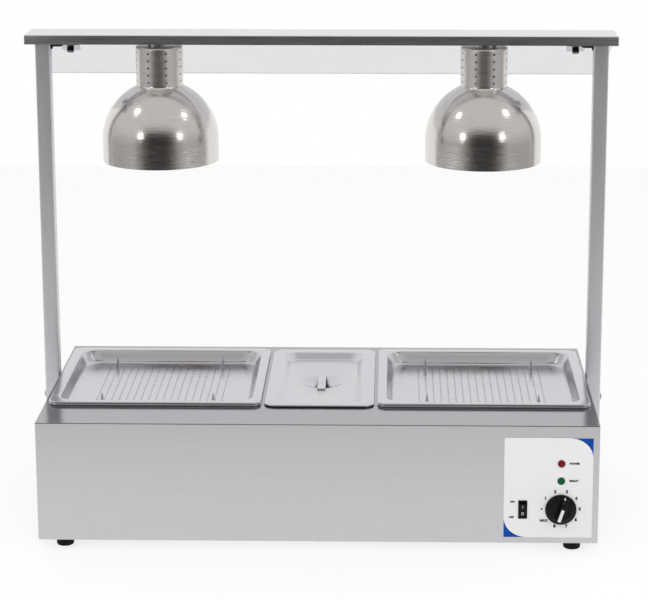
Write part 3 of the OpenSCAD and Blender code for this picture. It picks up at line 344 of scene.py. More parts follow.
def new_piece(name, parts, coat, body, stands_for=(), wall=0.0, sharp=40.0, outward=False):
    """Makes a mesh of welded parts, gives sheet its wall behind the seen face, marks edges sharper than
    sharp degrees, and lets the piece ride on its body in place of the named nodes. Parts and wall are in
    millimetres."""
    points, quads = weld([(p * MM, q) for p, q in parts])
    triangle = quads[:, 2] == quads[:, 3]
    mesh = bpy.data.meshes.new(name)
    mesh.from_pydata(points.tolist(), [], quads[~triangle].tolist() + quads[triangle, :3].tolist())
    piece = in_scene(name, mesh)
    if outward:
        edit = bmesh.new()
        edit.from_mesh(mesh)
        bmesh.ops.recalc_face_normals(edit, faces=edit.faces)
        edit.to_mesh(mesh)
        edit.free()
    if wall:
        solidify = piece.modifiers.new("wall", "SOLIDIFY")
        solidify.thickness, solidify.offset = wall * MM, -1.0
    return dress(piece, coat, body, stands_for, sharp)


def dress(piece, coat, body, stands_for, sharp):
    """Applies a new piece's modifiers, shades it smooth up to its sharp edges and hands it to the frame.
    Without a sharp angle it keeps the normals that its modifiers made."""
    if piece.modifiers:
        piece.data = final_mesh(piece)
        piece.data.name = piece.name
        piece.modifiers.clear()
    if sharp:
        piece.data.shade_smooth()
        piece.data.set_sharp_from_angle(angle=math.radians(sharp))
    piece.data.materials.clear()
    piece.data.materials.append(coat)
    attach(piece, body)
    if stands_for:
        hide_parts(*stands_for)
    return piece


def count_faces(*pieces):
    """The number of faces of each piece, for the notes that the cells print."""
    return {p.name: len(p.data.polygons) for p in pieces}


def second_coat(piece, coat, chosen):
    """Gives the chosen faces of a piece a coat of their own, and returns their number."""
    piece.data.materials.append(coat)
    piece.data.polygons.foreach_set("material_index", chosen.astype(np.int32))
    return int(chosen.sum())


# %% [markdown]
# ## Lamp shades
# Each shade is spun from one disc of steel: a straight skirt, a quarter-round dome, a tight hollow curve and
# a straight neck with columns of vent holes. The skirt and dome are one profile turned about the lamp's
# axis. On the neck, every vent sits in a square cell of the unrolled sheet: the cell's edge joins the
# hole's circle, and rolling the sheet up sends arc length x to the angle x / r. The neck is left brushed
# while the bell is polished, so its faces take a finish of their own.

# %% Lamp shades
SHADE_WALL = 1.0
NECK_D = 79.2
SKIRT = 37.0
HOLLOW = 6.0
VENT = 3.5
VENT_PITCH = 12.2
VENT_TOP = 9.0
VENT_ROWS = 5
VENT_COLUMNS = 8
CELL_STEPS = 6
PLAIN_STEPS = 9
DOME_STEPS = 40
HOLLOW_STEPS = 8
STEM_HOLE = 5.2


def shade_parts(node):
    """Skirt, dome, vented neck and top of one shade, at its place."""
    low, high = box_mm(node)
    bell, height = (high[0] - low[0]) / 2, high[2] - low[2]
    neck = NECK_D / 2
    cell = VENT_PITCH / neck
    sector = 2 * math.pi / VENT_COLUMNS
    own = np.linspace(-cell / 2, cell / 2, CELL_STEPS, endpoint=False)
    plain = np.linspace(cell / 2, sector - cell / 2, PLAIN_STEPS, endpoint=False)
    columns = (np.arange(VENT_COLUMNS) + 0.5) * sector
    angles = (columns[:, None] + np.concatenate([own, plain])[None]).reshape(-1)
    neck_low = height - VENT_TOP - (VENT_ROWS - 0.5) * VENT_PITCH
    neck_high = height - VENT_TOP + 0.5 * VENT_PITCH
    meet = math.degrees(math.acos((neck + HOLLOW) / (bell + HOLLOW)))
    hollow_z = SKIRT + (bell + HOLLOW) * math.sin(math.radians(meet))
    top = height - neck_high
    below = np.vstack([
        [[bell, 0], [bell, SKIRT / 2]], bend_arc((0, SKIRT), bell, 0, meet, DOME_STEPS),
        bend_arc((neck + HOLLOW, hollow_z), HOLLOW, 180 + meet, 180, HOLLOW_STEPS)[1:], [[neck, neck_low]],
    ])
    above = np.vstack([bend_arc((neck - top, neck_high), top, 0, 90), [[STEM_HOLE, height]]])
    edge = square_loop(VENT_PITCH, CELL_STEPS)
    hole = ring(VENT / 2, len(edge))
    flat = np.stack([edge, (edge + hole * 3) / 4, hole])
    rows_z = height - VENT_TOP - np.arange(VENT_ROWS) * VENT_PITCH

    def rolled(x, z, column):
        a = x / neck + column
        return np.stack([neck * np.cos(a), neck * np.sin(a), z], axis=-1)

    parts = [strips(turned(below, angles)), strips(turned(above, angles))]
    strip_x = np.append(plain, sector - cell / 2) * neck
    strip_z = np.linspace(neck_low, neck_high, VENT_ROWS * CELL_STEPS + 1)
    for column in columns:
        parts += [strips(rolled(flat[..., 0], flat[..., 1] + z, column)) for z in rows_z]
        grid_x, grid_z = np.meshgrid(strip_x, strip_z)
        parts.append(strips(rolled(grid_x, grid_z, column), closed=False))
    place = [*middle_mm(node)[:2], low[2]]
    return [(p + place, q) for p, q in parts]


shades = [new_piece("spun_shade_" + side, shade_parts("lamp_shade_" + side), spun_steel, "station",
                    ("lamp_shade_" + side,), wall=SHADE_WALL)
          for side in ("left", "right")]
neck_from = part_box("lamp_shade_left")[1][2] - (VENT_TOP + (VENT_ROWS - 0.5) * VENT_PITCH) * MM
neck_faces = [second_coat(shade, neck_steel, read(shade.data.polygons, "center", 3)[:, 2] > neck_from)
              for shade in shades]
print("lamp shades:", count_faces(*shades), "of which on the necks:", neck_faces)

# %% [markdown]
# ## Bulbs
# The infrared bulb in each shade is a pressed reflector of frosted, slightly red glass: a shallow domed
# front, a rounded shoulder and a cone back to the screw base. It is one turned profile, closed at the front
# by a pole.

# %% Bulbs
BULB_BASE = 26.6
BULB_FRONT_R = 120.0
BULB_SHOULDER_R = 16.0
BULB_SHOULDER_Z = 24.0
CONE_OVER = 5.0
CONE_END = 40.0
BASE_START = 29.0
BASE_BEVEL = 2.0
BASE_HUB = 6.0
THREAD_START = 26.0
THREAD_END = 2.0
THREAD_PITCH = 4.0
THREAD_DEEP = 0.7
ROUND_STEPS = 96
FULL_TURN = np.arange(ROUND_STEPS) * 2 * math.pi / ROUND_STEPS


def bulb_parts(node):
    """Domed front, shoulder, cone and ringed base of one bulb. The rings are deep * (1 - cos) of the height
    over the pitch, and the heights of cone, base and rings are measured down from the bulb's top."""
    low, high = box_mm(node)
    wide, height = (high[0] - low[0]) / 2, high[2] - low[2]
    base = BULB_BASE / 2
    front = bend_arc((0, BULB_FRONT_R), BULB_FRONT_R, -89, -66, 10)
    shoulder = bend_arc((wide - BULB_SHOULDER_R, BULB_SHOULDER_Z), BULB_SHOULDER_R, -60, 35, 10)
    cone = [[base + CONE_OVER, height - CONE_END], [base - 2 * THREAD_DEEP, height - BASE_START]]
    thread_z = np.linspace(height - THREAD_START, height - THREAD_END, 49)
    wave = np.cos((thread_z - height) * 2 * math.pi / THREAD_PITCH)
    thread = np.column_stack([base - THREAD_DEEP * (1 - wave), thread_z])
    profile = np.vstack([front, shoulder, cone, thread, [[base - BASE_BEVEL, height], [BASE_HUB, height]]])
    rows = turned(profile, FULL_TURN)
    place = [*middle_mm(node)[:2], low[2]]
    return [(p + place, q) for p, q in (strips(rows), cap(rows[0][::-1], (0, 0, 0)), cap(rows[-1]))]


bulbs = [new_piece("reflector_bulb_" + side, bulb_parts("bulb_" + side), bulb_glass, "station",
                   ("bulb_" + side,), outward=True) for side in ("left", "right")]
print("bulbs:", count_faces(*bulbs))

# %% [markdown]
# ## Pressed pans
# A catering pan is pressed from one sheet: an edge rolled under to a bead, a flat flange, a soft lip, walls
# that lean in a little and a wide heel down to the floor. The same profile, with its own depth, makes the
# drip pans, the middle pan and the carving trays. Each profile point is an inset u from the outer edge, so
# its loop is the outer rectangle made smaller by u on every side.

# %% Pan profile
SHEET_WALL = 0.8
ROLL_FROM = 262.0
HEEL_STEPS = 8


def pressed_profile(flange, rim, lip, draft, heel, depth):
    """Insets and heights from the rim's lower edge to the floor. The rim is a half-round bead, the lip turns
    from flat to the wall's lean of draft degrees, and the heel turns from there to the floor."""
    s, t = math.sin(math.radians(draft)), math.tan(math.radians(draft))
    c = math.cos(math.radians(draft))
    lip_u = flange - lip * c
    wall_top = np.array([lip_u + lip * c, -lip + lip * s])
    wall_low_z = -depth + heel * (1 - s)
    wall_low = np.array([wall_top[0] + (wall_top[1] - wall_low_z) * t, wall_low_z])
    heel_at = wall_low + heel * np.array([c, s])
    return np.vstack([
        bend_arc((rim / 2, -rim / 2), rim / 2, ROLL_FROM, 90, 10),
        bend_arc((lip_u, -lip), lip, 90, draft), [(wall_top + wall_low) / 2],
        bend_arc(heel_at, -heel, draft, 90, HEEL_STEPS),
    ])


def inset_rows(low, high, profile, radii, straight, corner):
    """Loops of sheet that fills a box, from a profile of insets u and heights z above the box's top."""
    size, middle = high - low, (high + low) / 2
    rows = [at_height(rounded_loop(size[0] - 2 * u, size[1] - 2 * u, r, straight, corner), z)
            for (u, z), r in zip(profile, radii)]
    return np.array(rows) + [middle[0], middle[1], high[2]]


def pan_rows(node, profile, edge_r, wall_r, floor_r, straight, corner):
    """Loops of a pan from its rim to its floor. The corner radius runs from the rim's to the wall's halfway
    down, which is the point before the heel, and on to the floor's."""
    wall_u = profile[-HEEL_STEPS - 2, 0]
    radii = np.interp(profile[:, 0], [0, wall_u, profile[-1, 0]], [edge_r, wall_r, floor_r])
    return inset_rows(*box_mm(node), profile, radii, straight, corner)


# %% [markdown]
# ## Drip pans and middle pan
# These are plain pans: the profile ends at the floor, which one flat cap closes.

# %% Drip pans and middle pan
EDGE_R = 14.0
WALL_R = 30.0
FLANGE = 12.8
RIM = 3.2
PAN_LIP = 3.0
PAN_DRAFT = 4.0
PAN_HEEL = 12.0
DRIP_DEPTH = 64.2
MIDDLE_DEPTH = 99.2
SIDE_STEPS = 16
CORNER_STEPS = 24


def plain_pan(name, node, depth):
    """One pan with a flat floor, its wall behind the seen face."""
    profile = pressed_profile(FLANGE, RIM, PAN_LIP, PAN_DRAFT, PAN_HEEL, depth)
    rows = pan_rows(node, profile, EDGE_R, WALL_R, WALL_R, SIDE_STEPS, CORNER_STEPS)
    parts = [strips(rows), cap(rows[-1])]
    return new_piece(name, parts, pan_steel, node, (node,), wall=SHEET_WALL)


plain_pans = [plain_pan("pressed_drip_pan_left", "drip_pan_left", DRIP_DEPTH),
              plain_pan("pressed_drip_pan_right", "drip_pan_right", DRIP_DEPTH),
              plain_pan("pressed_middle_pan", "pan_middle", MIDDLE_DEPTH)]
print("plain pans:", count_faces(*plain_pans))

# %% [markdown]
# ## Carving trays
# A tray is a shallow pan whose floor is drilled in a square field, with a spike in place of a hole near each
# corner of the field. Every hole sits in a square cell: sixteen points round the cell join sixteen round the
# hole. A flat band then runs from the field's edge to the pan's heel.

# %% Carving trays
DRAIN_PITCH = 12.5
DRAIN_COUNT = 18
DRAIN_HOLE = 3.2
TRAY_FLANGE = 16.1
TRAY_LIP = 4.0
TRAY_DRAFT = 24.0
TRAY_HEEL = 9.0
TRAY_FLOOR_R = 34.0
TRAY_DEPTH = 21.2
DRAIN_STEPS = 4


def drilled_field():
    """Cells of the drilled square about the origin, at height 0: open rings, and closed ones for spikes."""
    edge = at_height(square_loop(DRAIN_PITCH, DRAIN_STEPS), 0)
    hole = at_height(ring(DRAIN_HOLE / 2, len(edge)), 0)
    i, j = np.meshgrid(np.arange(DRAIN_COUNT), np.arange(DRAIN_COUNT), indexing="ij")
    spike = np.isin(i, [1, DRAIN_COUNT - 2]) & np.isin(j, [0, DRAIN_COUNT - 1])
    middle = (DRAIN_COUNT - 1) / 2
    centres = np.stack([i - middle, j - middle, 0 * i], axis=-1) * DRAIN_PITCH
    points, quads = strips(np.stack([edge, hole]))
    spots = centres.reshape(-1, 3)
    cells = (spots[:, None] + points[None]).reshape(-1, 3)
    faces = (np.arange(len(spots))[:, None, None] * len(points) + quads[None]).reshape(-1, 4)
    discs = [cap(hole + spot) for spot in centres[spike]]
    return [(cells, faces)] + discs


def carving_tray(side):
    """One tray: pressed rows, the flat band and the drilled field."""
    node = "carving_tray_" + side
    profile = pressed_profile(TRAY_FLANGE, RIM, TRAY_LIP, TRAY_DRAFT, TRAY_HEEL, TRAY_DEPTH)
    field_steps = DRAIN_COUNT * DRAIN_STEPS
    rows = pan_rows(node, profile, EDGE_R, WALL_R, TRAY_FLOOR_R, field_steps - CORNER_STEPS, CORNER_STEPS)
    middle = rows[-1].mean(axis=0)
    border = at_height(square_loop(DRAIN_COUNT * DRAIN_PITCH, field_steps), 0) + middle
    band = np.stack([rows[-1], (rows[-1] + border) / 2, border])
    parts = [strips(rows), strips(band)] + [(p + middle, q) for p, q in drilled_field()]
    return new_piece("drilled_tray_" + side, parts, pan_steel, node, (node,),
                     wall=SHEET_WALL)


trays = [carving_tray("left"), carving_tray("right")]
print("carving trays:", count_faces(*trays))

# %% [markdown]
# ## Lid
# The lid of the middle pan is pressed the same way, with a sunk panel and a round finger dimple in its
# middle. The dimple is the smooth bowl z = -h (1 - (r / R)^2)^1.5, which leaves the panel without a crease.
# A bridge of flat strip across it is the handle, with a crown that lifts it off the panel.

# %% Lid and its handle
LID_EDGE_R = 17.5
LID_FLANGE = 20.6
LID_RIM = 3.0
LID_LIP = 5.0
LID_DRAFT = 52.0
LID_HEEL = 6.0
LID_DEPTH = 10.0
LID_R = 25.2
LID_FLOOR_R = 20.0
DIMPLE_R = 39.0
DIMPLE_DEPTH = 13.0
STRAP_WIDE = 14.0
STRAP_THICK = 1.5
STRAP_EDGE = 0.6
STRAP_CROWN = 2.5


def lid_parts():
    """Rim, flange, sunk panel and dimple of the lid."""
    profile = pressed_profile(LID_FLANGE, LID_RIM, LID_LIP, LID_DRAFT, LID_HEEL, LID_DEPTH)
    rows = pan_rows("lid", profile, LID_EDGE_R, LID_R, LID_FLOOR_R, SIDE_STEPS, CORNER_STEPS)
    middle = rows[-1].mean(axis=0)
    radii = DIMPLE_R * np.linspace(1, 0.04, 16)
    heights = -DIMPLE_DEPTH * (1 - (radii / DIMPLE_R) ** 2) ** 1.5
    bowl = np.stack([at_height(ring(r, len(rows[-1])), z) for r, z in zip(radii, heights)]) + middle
    band = np.stack([rows[-1], bowl[0]])
    return [strips(rows), strips(band), strips(bowl), cap(bowl[-1], middle - [0, 0, DIMPLE_DEPTH])]


def strap_parts():
    """Rounded strip carried along Y, its height crown * (1 - (y / R)^2)^2 over the dimple of radius R."""
    low, high = box_mm("lid_strap")
    length = high[1] - low[1]
    y = np.linspace(-length / 2, length / 2, 41)
    lift = STRAP_CROWN * (1 - np.clip(y / DIMPLE_R, -1, 1) ** 2) ** 2
    section = rounded_loop(STRAP_WIDE, STRAP_THICK, STRAP_EDGE, 4, 4)
    rows = np.stack([np.column_stack([section[:, 0], np.full(len(section), a), section[:, 1] + b])
                     for a, b in zip(y, lift)])
    return capped(rows + middle_mm("lid_strap"))


lid = new_piece("pressed_lid", lid_parts(), pan_steel, "lid", ("lid",),
                wall=SHEET_WALL)
handle = new_piece("lid_handle", strap_parts(), pan_steel, "lid", ("lid_strap",),
                   outward=True)
print("lid:", count_faces(lid, handle))

# %% [markdown]
# ## Posts
# The posts are drawn square tube, so their corners are round. A rounded square carried up the post's height
# gives the catch of light along each corner that a sharp box lacks.

# %% Posts
TUBE_R = 2.4
TUBE_WALL = 1.5


def post_tube(side):
    """One post: a rounded square carried from its foot to its head."""
    node = "post_" + side
    low, high = box_mm(node)
    size, middle = high - low, (high + low) / 2
    loop = rounded_loop(size[0], size[1], TUBE_R, 2, 8)
    rows = np.stack([at_height(loop, z) for z in np.linspace(low[2], high[2], 9)]) + [middle[0], middle[1], 0]
    return new_piece("square_tube_" + side, [strips(rows)], post_steel, "station",
                     (node,), wall=TUBE_WALL)


posts = [post_tube("left"), post_tube("right")]
print("posts:", count_faces(*posts))

# %% [markdown]
# ## Shelf
# The shelf is one sheet folded down on all four sides, so its upper edges are round bends and not sharp
# corners. The loops run from the lower edge up the fold and over the bend, and one cap closes the top.

# %% Shelf
FOLD_R = 1.8
SHELF_CORNER = 0.9
SHELF_WALL = 1.2


def shelf_parts():
    """Folded edges from below, a quarter-round bend and the flat top."""
    low, high = box_mm("shelf_edges")[0], box_mm("shelf")[1]
    fold = high[2] - low[2]
    profile = np.vstack([[[0, -fold], [0, -fold / 2]], bend_arc((FOLD_R, -FOLD_R), FOLD_R, 180, 90)])
    rows = inset_rows(low, high, profile, np.full(len(profile), SHELF_CORNER), 8, 4)
    return [strips(rows), cap(rows[-1])]


shelf = new_piece("folded_shelf", shelf_parts(), shelf_steel, "station",
                  ("shelf", "shelf_edges"), wall=SHELF_WALL)
print("shelf:", count_faces(shelf))

# %% [markdown]
# ## Feet
# Four moulded rubber feet carry the casing. Each is turned from one closed profile: a bored sole, a rounded
# edge, a flank that widens upwards and a flat top.

# %% Feet
FOOT_TOP_R = 15.5
FOOT_SOLE_R = 14.0
FOOT_BORE = 5.5
FOOT_HOLE = 2.7
FOOT_BORE_H = 6.0
FOOT_EDGE = 2.2
FOOT_CHAMFER = 0.6
FOOT_ROUND = 0.8


def feet_parts():
    """The four feet, at the corners of the node's box."""
    low, high = box_mm("feet")
    foot_h = high[2] - low[2]
    profile = np.vstack([
        [[FOOT_HOLE, FOOT_BORE_H], [FOOT_BORE, FOOT_BORE_H]],
        [[FOOT_BORE, FOOT_CHAMFER], [FOOT_BORE + FOOT_CHAMFER, 0]],
        bend_arc((FOOT_SOLE_R - FOOT_EDGE, FOOT_EDGE), FOOT_EDGE, -90, 0),
        bend_arc((FOOT_TOP_R - FOOT_ROUND, foot_h - FOOT_ROUND), FOOT_ROUND, 0, 90, 4),
        [[FOOT_HOLE, foot_h], [FOOT_HOLE, FOOT_BORE_H]],
    ])
    points, quads = strips(turned(profile, FULL_TURN))
    (west, south), (east, north) = low[:2] + FOOT_TOP_R, high[:2] - FOOT_TOP_R
    return [(points + [x, y, 0], quads) for x in (west, east) for y in (south, north)]


feet = new_piece("rubber_feet", feet_parts(), black_rubber, "station", ("feet",))
print("feet:", count_faces(feet))

# %% [markdown]
# ## Knob
# The thermostat knob is one black moulding: a round skirt with a sloping shoulder, and a grip bar across it
# with a white line on one half. A small white arrow on the shoulder shows the setting. The knob is worked
# out facing the viewer, with u to the right, v up and w out of the panel, turned clockwise to its setting,
# and then stood up against the panel.

# %% Knob
KNOB_TURN = -18.0
KNOB_R = 25.4
KNOB_BORE = 3.1
BORE_DEEP = 3.0
HUB_R = 2.0
FOOT_BEND = 0.8
RIM_BEND = 1.2
RIM_H = 3.0
SHOULDER_R = 19.0
SHOULDER_H = 8.0
SHOULDER_BEND = 2.0
SLOPE_FOOT = (24.6, 4.2)
GRIP_WIDE = 11.0
GRIP_LONG = 37.5
GRIP_TOP = 23.85
GRIP_LEAN = 0.8
GRIP_TAPER = 1.0
GRIP_FOOT_R = 5.0
GRIP_TOP_R = 4.6
GRIP_ROUND = 2.0
BAR_WIDE = 5.0
BAR_FROM = -14.0
BAR_TO = 7.0
BAR_LIFT = 0.12
BAR_DEEP = 0.8
MARK_FROM = 19.4
MARK_TO = 23.0
MARK_HALF = 1.9
MARK_SINK = 0.35
MARK_THICK = 0.55


def on_panel(points, x, y, z, turn=0.0):
    """Stands (u, v, w) points against the front: u along X, v along Z and w towards the viewer."""
    a = math.radians(turn)
    u = points[..., 0] * math.cos(a) - points[..., 1] * math.sin(a)
    v = points[..., 0] * math.sin(a) + points[..., 1] * math.cos(a)
    return np.stack([x + u, y - points[..., 2], z + v], axis=-1)


def seat(node):
    """Where a node sits on the panel: the middle of its rear face."""
    x, _, z = middle_mm(node)
    return x, box_mm(node)[1][1], z


KNOB_AT = seat("knob")


def knob_parts():
    """Turned skirt and shoulder, and the grip as rounded rectangles that narrow to its top."""
    skirt = np.vstack([
        [[KNOB_BORE, BORE_DEEP], [KNOB_BORE, 0], [KNOB_R - FOOT_BEND, 0]],
        bend_arc((KNOB_R - FOOT_BEND, FOOT_BEND), FOOT_BEND, -90, 0, 3),
        bend_arc((KNOB_R - RIM_BEND, RIM_H), RIM_BEND, 0, 60, 4),
        bend_arc((SHOULDER_R - SHOULDER_BEND, SHOULDER_H - SHOULDER_BEND), SHOULDER_BEND, 50, 90, 4),
        [[HUB_R, SHOULDER_H]],
    ])
    edge = GRIP_TOP - GRIP_ROUND
    # Each step is the inset across, the inset along, the corner radius and the height.
    steps = [(0, 0, GRIP_FOOT_R, SHOULDER_H - 1.0), (0.3, 0.2, GRIP_FOOT_R, SHOULDER_H + 1.0),
             (GRIP_TAPER, GRIP_LEAN, GRIP_TOP_R, edge)]
    round_top = [(GRIP_TAPER + b, GRIP_LEAN + b, GRIP_TOP_R - b, edge + h)
                 for b, h in GRIP_ROUND * (bend_arc((1, 0), 1.0, 180, 90, 5)[1:])]
    grip = np.stack([at_height(rounded_loop(GRIP_WIDE - 2 * a, GRIP_LONG - 2 * b, r, 4, 8), w)
                     for a, b, r, w in steps + round_top])
    parts = capped(turned(skirt, FULL_TURN)) + capped(grip)
    return [(on_panel(p, *KNOB_AT, KNOB_TURN), q) for p, q in parts]


def knob_marks():
    """White line along the grip, which follows its top and the round of its end, and the arrow that lies
    on the shoulder's slope. Past the flat top by d, the round of radius r is r - sqrt(r^2 - d^2) lower."""
    v = np.linspace(BAR_FROM, BAR_TO, 40)
    past = np.clip(np.abs(v) - (GRIP_LONG / 2 - GRIP_LEAN - GRIP_ROUND), 0, GRIP_ROUND)
    crest = GRIP_TOP + BAR_LIFT - GRIP_ROUND + np.sqrt(GRIP_ROUND ** 2 - past ** 2)
    half = np.full(len(v), BAR_WIDE / 2)
    base = crest - BAR_DEEP
    bar = np.stack([np.column_stack([u, v, w]) for u, w in
                    ((-half, base), (-half, crest), (half, crest), (half, base))], axis=1)
    slope = (SHOULDER_H - SLOPE_FOOT[1]) / (SHOULDER_R - SLOPE_FOOT[0])
    tip = np.array([[-MARK_HALF, MARK_FROM], [MARK_HALF, MARK_FROM], [0, MARK_TO]])
    height = SHOULDER_H - MARK_SINK + slope * (np.hypot(tip[:, 0], tip[:, 1]) - SHOULDER_R)
    arrow = np.stack([np.column_stack([tip, height + d]) for d in (0.0, MARK_THICK)])
    return [(on_panel(p, *KNOB_AT, KNOB_TURN), q) for p, q in capped(bar) + capped(arrow)]


knob = new_piece("dial_knob", knob_parts(), black_abs, "knob", ("knob",), outward=True)
marks = new_piece("knob_marks", knob_marks(), white_abs, "knob", ("knob_pointer",),
                  outward=True)
print("knob:", count_faces(knob, marks))

# %% [markdown]
# ## Indicators
# Each indicator is a tinted lens with a flat rim and a domed front with moulded rings, which catch the light
# as fine circles. It is one turned profile.

# %% Indicators
LENS_R = 6.3
LENS_RIM = 1.5
LENS_CHAMFER = 0.3
LENS_BEND = 0.6
DOME_R = 5.2
DOME_H = 2.0
RING_H = 0.12
RING_PITCH = 1.3


def lens_parts(node):
    """Flat rim, then a dome h (1 - (r / R)^2) with small rings, a sine of r over their pitch."""
    r = np.linspace(DOME_R, 0.1, 40)
    dome = LENS_RIM + DOME_H * (1 - (r / DOME_R) ** 2) + RING_H * np.sin(r * 2 * math.pi / RING_PITCH)
    profile = np.vstack([[[LENS_R - LENS_CHAMFER, 0], [LENS_R, LENS_CHAMFER]],
                         bend_arc((LENS_R - LENS_BEND, LENS_RIM - LENS_BEND), LENS_BEND, 0, 90, 4),
                         np.column_stack([r, dome])])
    return [(on_panel(p, *seat(node)), q) for p, q in capped(turned(profile, FULL_TURN))]


lenses = [new_piece("domed_lens_" + tint, lens_parts("indicator_" + tint), coat, "station",
                    ("indicator_" + tint,), outward=True)
          for tint, coat in (("red", red_lens), ("green", green_lens))]
print("indicators:", count_faces(*lenses))

# %% [markdown]
# ## Folded sheet and moulded blocks
# Folded sheet and moulded boxes have small round edges that catch the light. Where the CAD solid is right
# but for its sharp edges, a copy of it is merged, its flat triangles are joined to whole faces, and a Bevel
# rounds every edge. Hardened normals keep the large faces flat to the eye right up to the rounding.

# %% Rounded copies of CAD pieces
MERGE = 1e-6
FLAT_WITHIN = math.radians(0.2)
ROUND_OVER = math.radians(30)


def rounded_copy(node, radius, coat, slot, segments=2):
    """A copy of a node, merged and with its flat facets joined, whose sharper edges are rounded."""
    edit = bmesh.new()
    edit.from_mesh(NODES[node].data)
    bmesh.ops.remove_doubles(edit, verts=edit.verts, dist=MERGE)
    bmesh.ops.dissolve_limit(edit, angle_limit=FLAT_WITHIN, verts=edit.verts, edges=edit.edges)
    mesh = bpy.data.meshes.new(node + "_rounded")
    edit.to_mesh(mesh)
    edit.free()
    if "custom_normal" in mesh.attributes:
        mesh.attributes.remove(mesh.attributes["custom_normal"])
    mesh.shade_smooth()
    piece = in_scene(node + "_rounded", mesh)
    bevel = piece.modifiers.new("edge", "BEVEL")
    bevel.width, bevel.segments, bevel.harden_normals = radius * MM, segments, True
    bevel.limit_method, bevel.angle_limit = "ANGLE", ROUND_OVER
    return dress(piece, coat, NODES[node]["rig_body"], (node,), None)


# Edge radius, finish and slot, and the Bevel's segments where they aren't two.
ROUNDED = {
    "body_wrap": (0.5, casing_steel, "brushed_steel"),
    "deck": (0.5, deck_steel, "polished_steel"),
    "rear_panel": (0.4, casing_steel, "brushed_steel"),
    "guard": (0.5, clear_acrylic, "clear_acrylic"),
    "guard_brackets": (0.3, zinc_steel, "brushed_steel"),
    "control_plate": (0.25, white_film, "white_plate"),
    "switch_housing": (0.4, black_abs, "black_plastic"),
    "rocker": (0.5, black_abs, "black_plastic", 3),
    "post_caps": (0.6, black_abs, "black_plastic"),
}
copies = {node: rounded_copy(node, *how) for node, how in ROUNDED.items()}
print("rounded copies:", count_faces(*copies.values()))

# %% [markdown]
# ## Cut edges
# A cut edge never looks like the sheet's face: the shear and the punch leave the steel dull and dark, and the
# saw leaves the acrylic milky. The faces that turn away from the sheet's own direction, which is that of its
# largest face, take a second material: the deck's rim, the trays' punched holes and the guard's edge. The
# steel's edge colour is darker than a cut leaves it, and is painted shade: it stands for the shadow in the
# seam along the deck's rim and the shade inside the holes.

# %% Cut edges and painted shade
def coat_edges(piece, coat, slant=0.95, above=-math.inf, below=math.inf):
    """Gives the faces across the sheet, between two heights, a coat of their own. A face is across it if
    the cosine of its angle to the sheet is under slant."""
    faces = piece.data.polygons
    facing, height = read(faces, "normal", 3), read(faces, "center", 3)[:, 2]
    across = np.abs(facing @ facing[read(faces, "area", 1).argmax()]) < slant
    return second_coat(piece, coat, across & (height > above) & (height < below))


DECK_SHEET = 1.2
deck_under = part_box("deck")[1][2] - DECK_SHEET * MM
tray_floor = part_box("carving_tray_left")[0][2] + SHEET_WALL * MM
# The deck's rim and the trays' hole walls are painted dark, as painted shade of the seam and of the holes.
edges = [coat_edges(copies["deck"], sheared_edge_and_shade, above=deck_under),
         coat_edges(copies["guard"], acrylic_edge)]
edges += [coat_edges(tray, sheared_edge_and_shade, slant=0.3, below=tray_floor) for tray in trays]
print("edge faces of the deck, the guard and the trays:", edges)

# %% [markdown]
# ## Printed film
# The plate's film is printed with the dial's figures, the words beside the indicators and the switch, and a
# blue corner at the top right and bottom left, each bounded by an arc. Letters are made as text, turned to a
# mesh and laid on the film a few hundredths of a millimetre proud.

# %% Lettering and corners
PRINT_LIFT = 0.05
CAP_SHARE = 0.69
DIAL_R = 31.0
DIAL_STEP = 36.0
DIAL_START = -90.0
DIGIT = 4.9
WORD = 3.2
BOLD = 0.11
MAX_R = 34.0
MAX_SHARE = 0.8
DOT_R = 1.6
WORD_GAP = 7.0
# Place along X, and height over the rocker's middle.
SWITCH_WORDS = {"ON": (317.5, 13.4), "OFF": (316.3, -13.3)}
INDICATOR_WORDS = {"POWER": "indicator_red", "READY": "indicator_green"}
plate_low, plate_high = box_mm("control_plate")
film_y = plate_low[1]


def letters(text, height, x, z, align="CENTER"):
    """Flat letters of that height on the film, centred on or started at (x, z), as vertices and quads."""
    curve = bpy.data.curves.new("letters", "FONT")
    curve.body, curve.size, curve.align_x, curve.align_y = text, height / CAP_SHARE, align, "CENTER"
    curve.resolution_u, curve.offset = 3, BOLD * height
    holder = in_scene("letters", curve)
    mesh = final_mesh(holder)
    mesh.calc_loop_triangles()
    points = read(mesh.vertices, "co", 3) + [0, 0, PRINT_LIFT]
    corners = read(mesh.loop_triangles, "vertices", 3, int)
    bpy.data.objects.remove(holder)
    bpy.data.curves.remove(curve)
    bpy.data.meshes.remove(mesh)
    return on_panel(points, x, film_y, z), np.column_stack([corners, corners[:, 2]])


dial_print = []
for k, label in enumerate(["", "1", "2", "3", "4", "5", "6", "7", "8", "MAX"]):
    a = math.radians(DIAL_START + DIAL_STEP * k)
    out = MAX_R if label == "MAX" else DIAL_R
    spot = (KNOB_AT[0] + out * math.sin(a), KNOB_AT[2] + out * math.cos(a))
    if label:
        dial_print.append(letters(label, DIGIT if len(label) == 1 else MAX_SHARE * DIGIT, *spot))
    else:
        dot = cap(at_height(ring(DOT_R, 24), PRINT_LIFT))
        dial_print.append((on_panel(dot[0], spot[0], film_y, spot[1]), dot[1]))
rocker_x, _, rocker_z = middle_mm("rocker")
for word, (x, up) in SWITCH_WORDS.items():
    dial_print.append(letters(word, WORD, x, rocker_z + up))
for word, node in INDICATOR_WORDS.items():
    dial_print.append(letters(word, WORD, box_mm(node)[1][0] + WORD_GAP, middle_mm(node)[2], "LEFT"))
ink = new_piece("film_lettering", dial_print, black_ink, "station")

CORNER_WIDE = 38.0
CORNER_HIGH = 34.0
CORNER_POINTS = 25


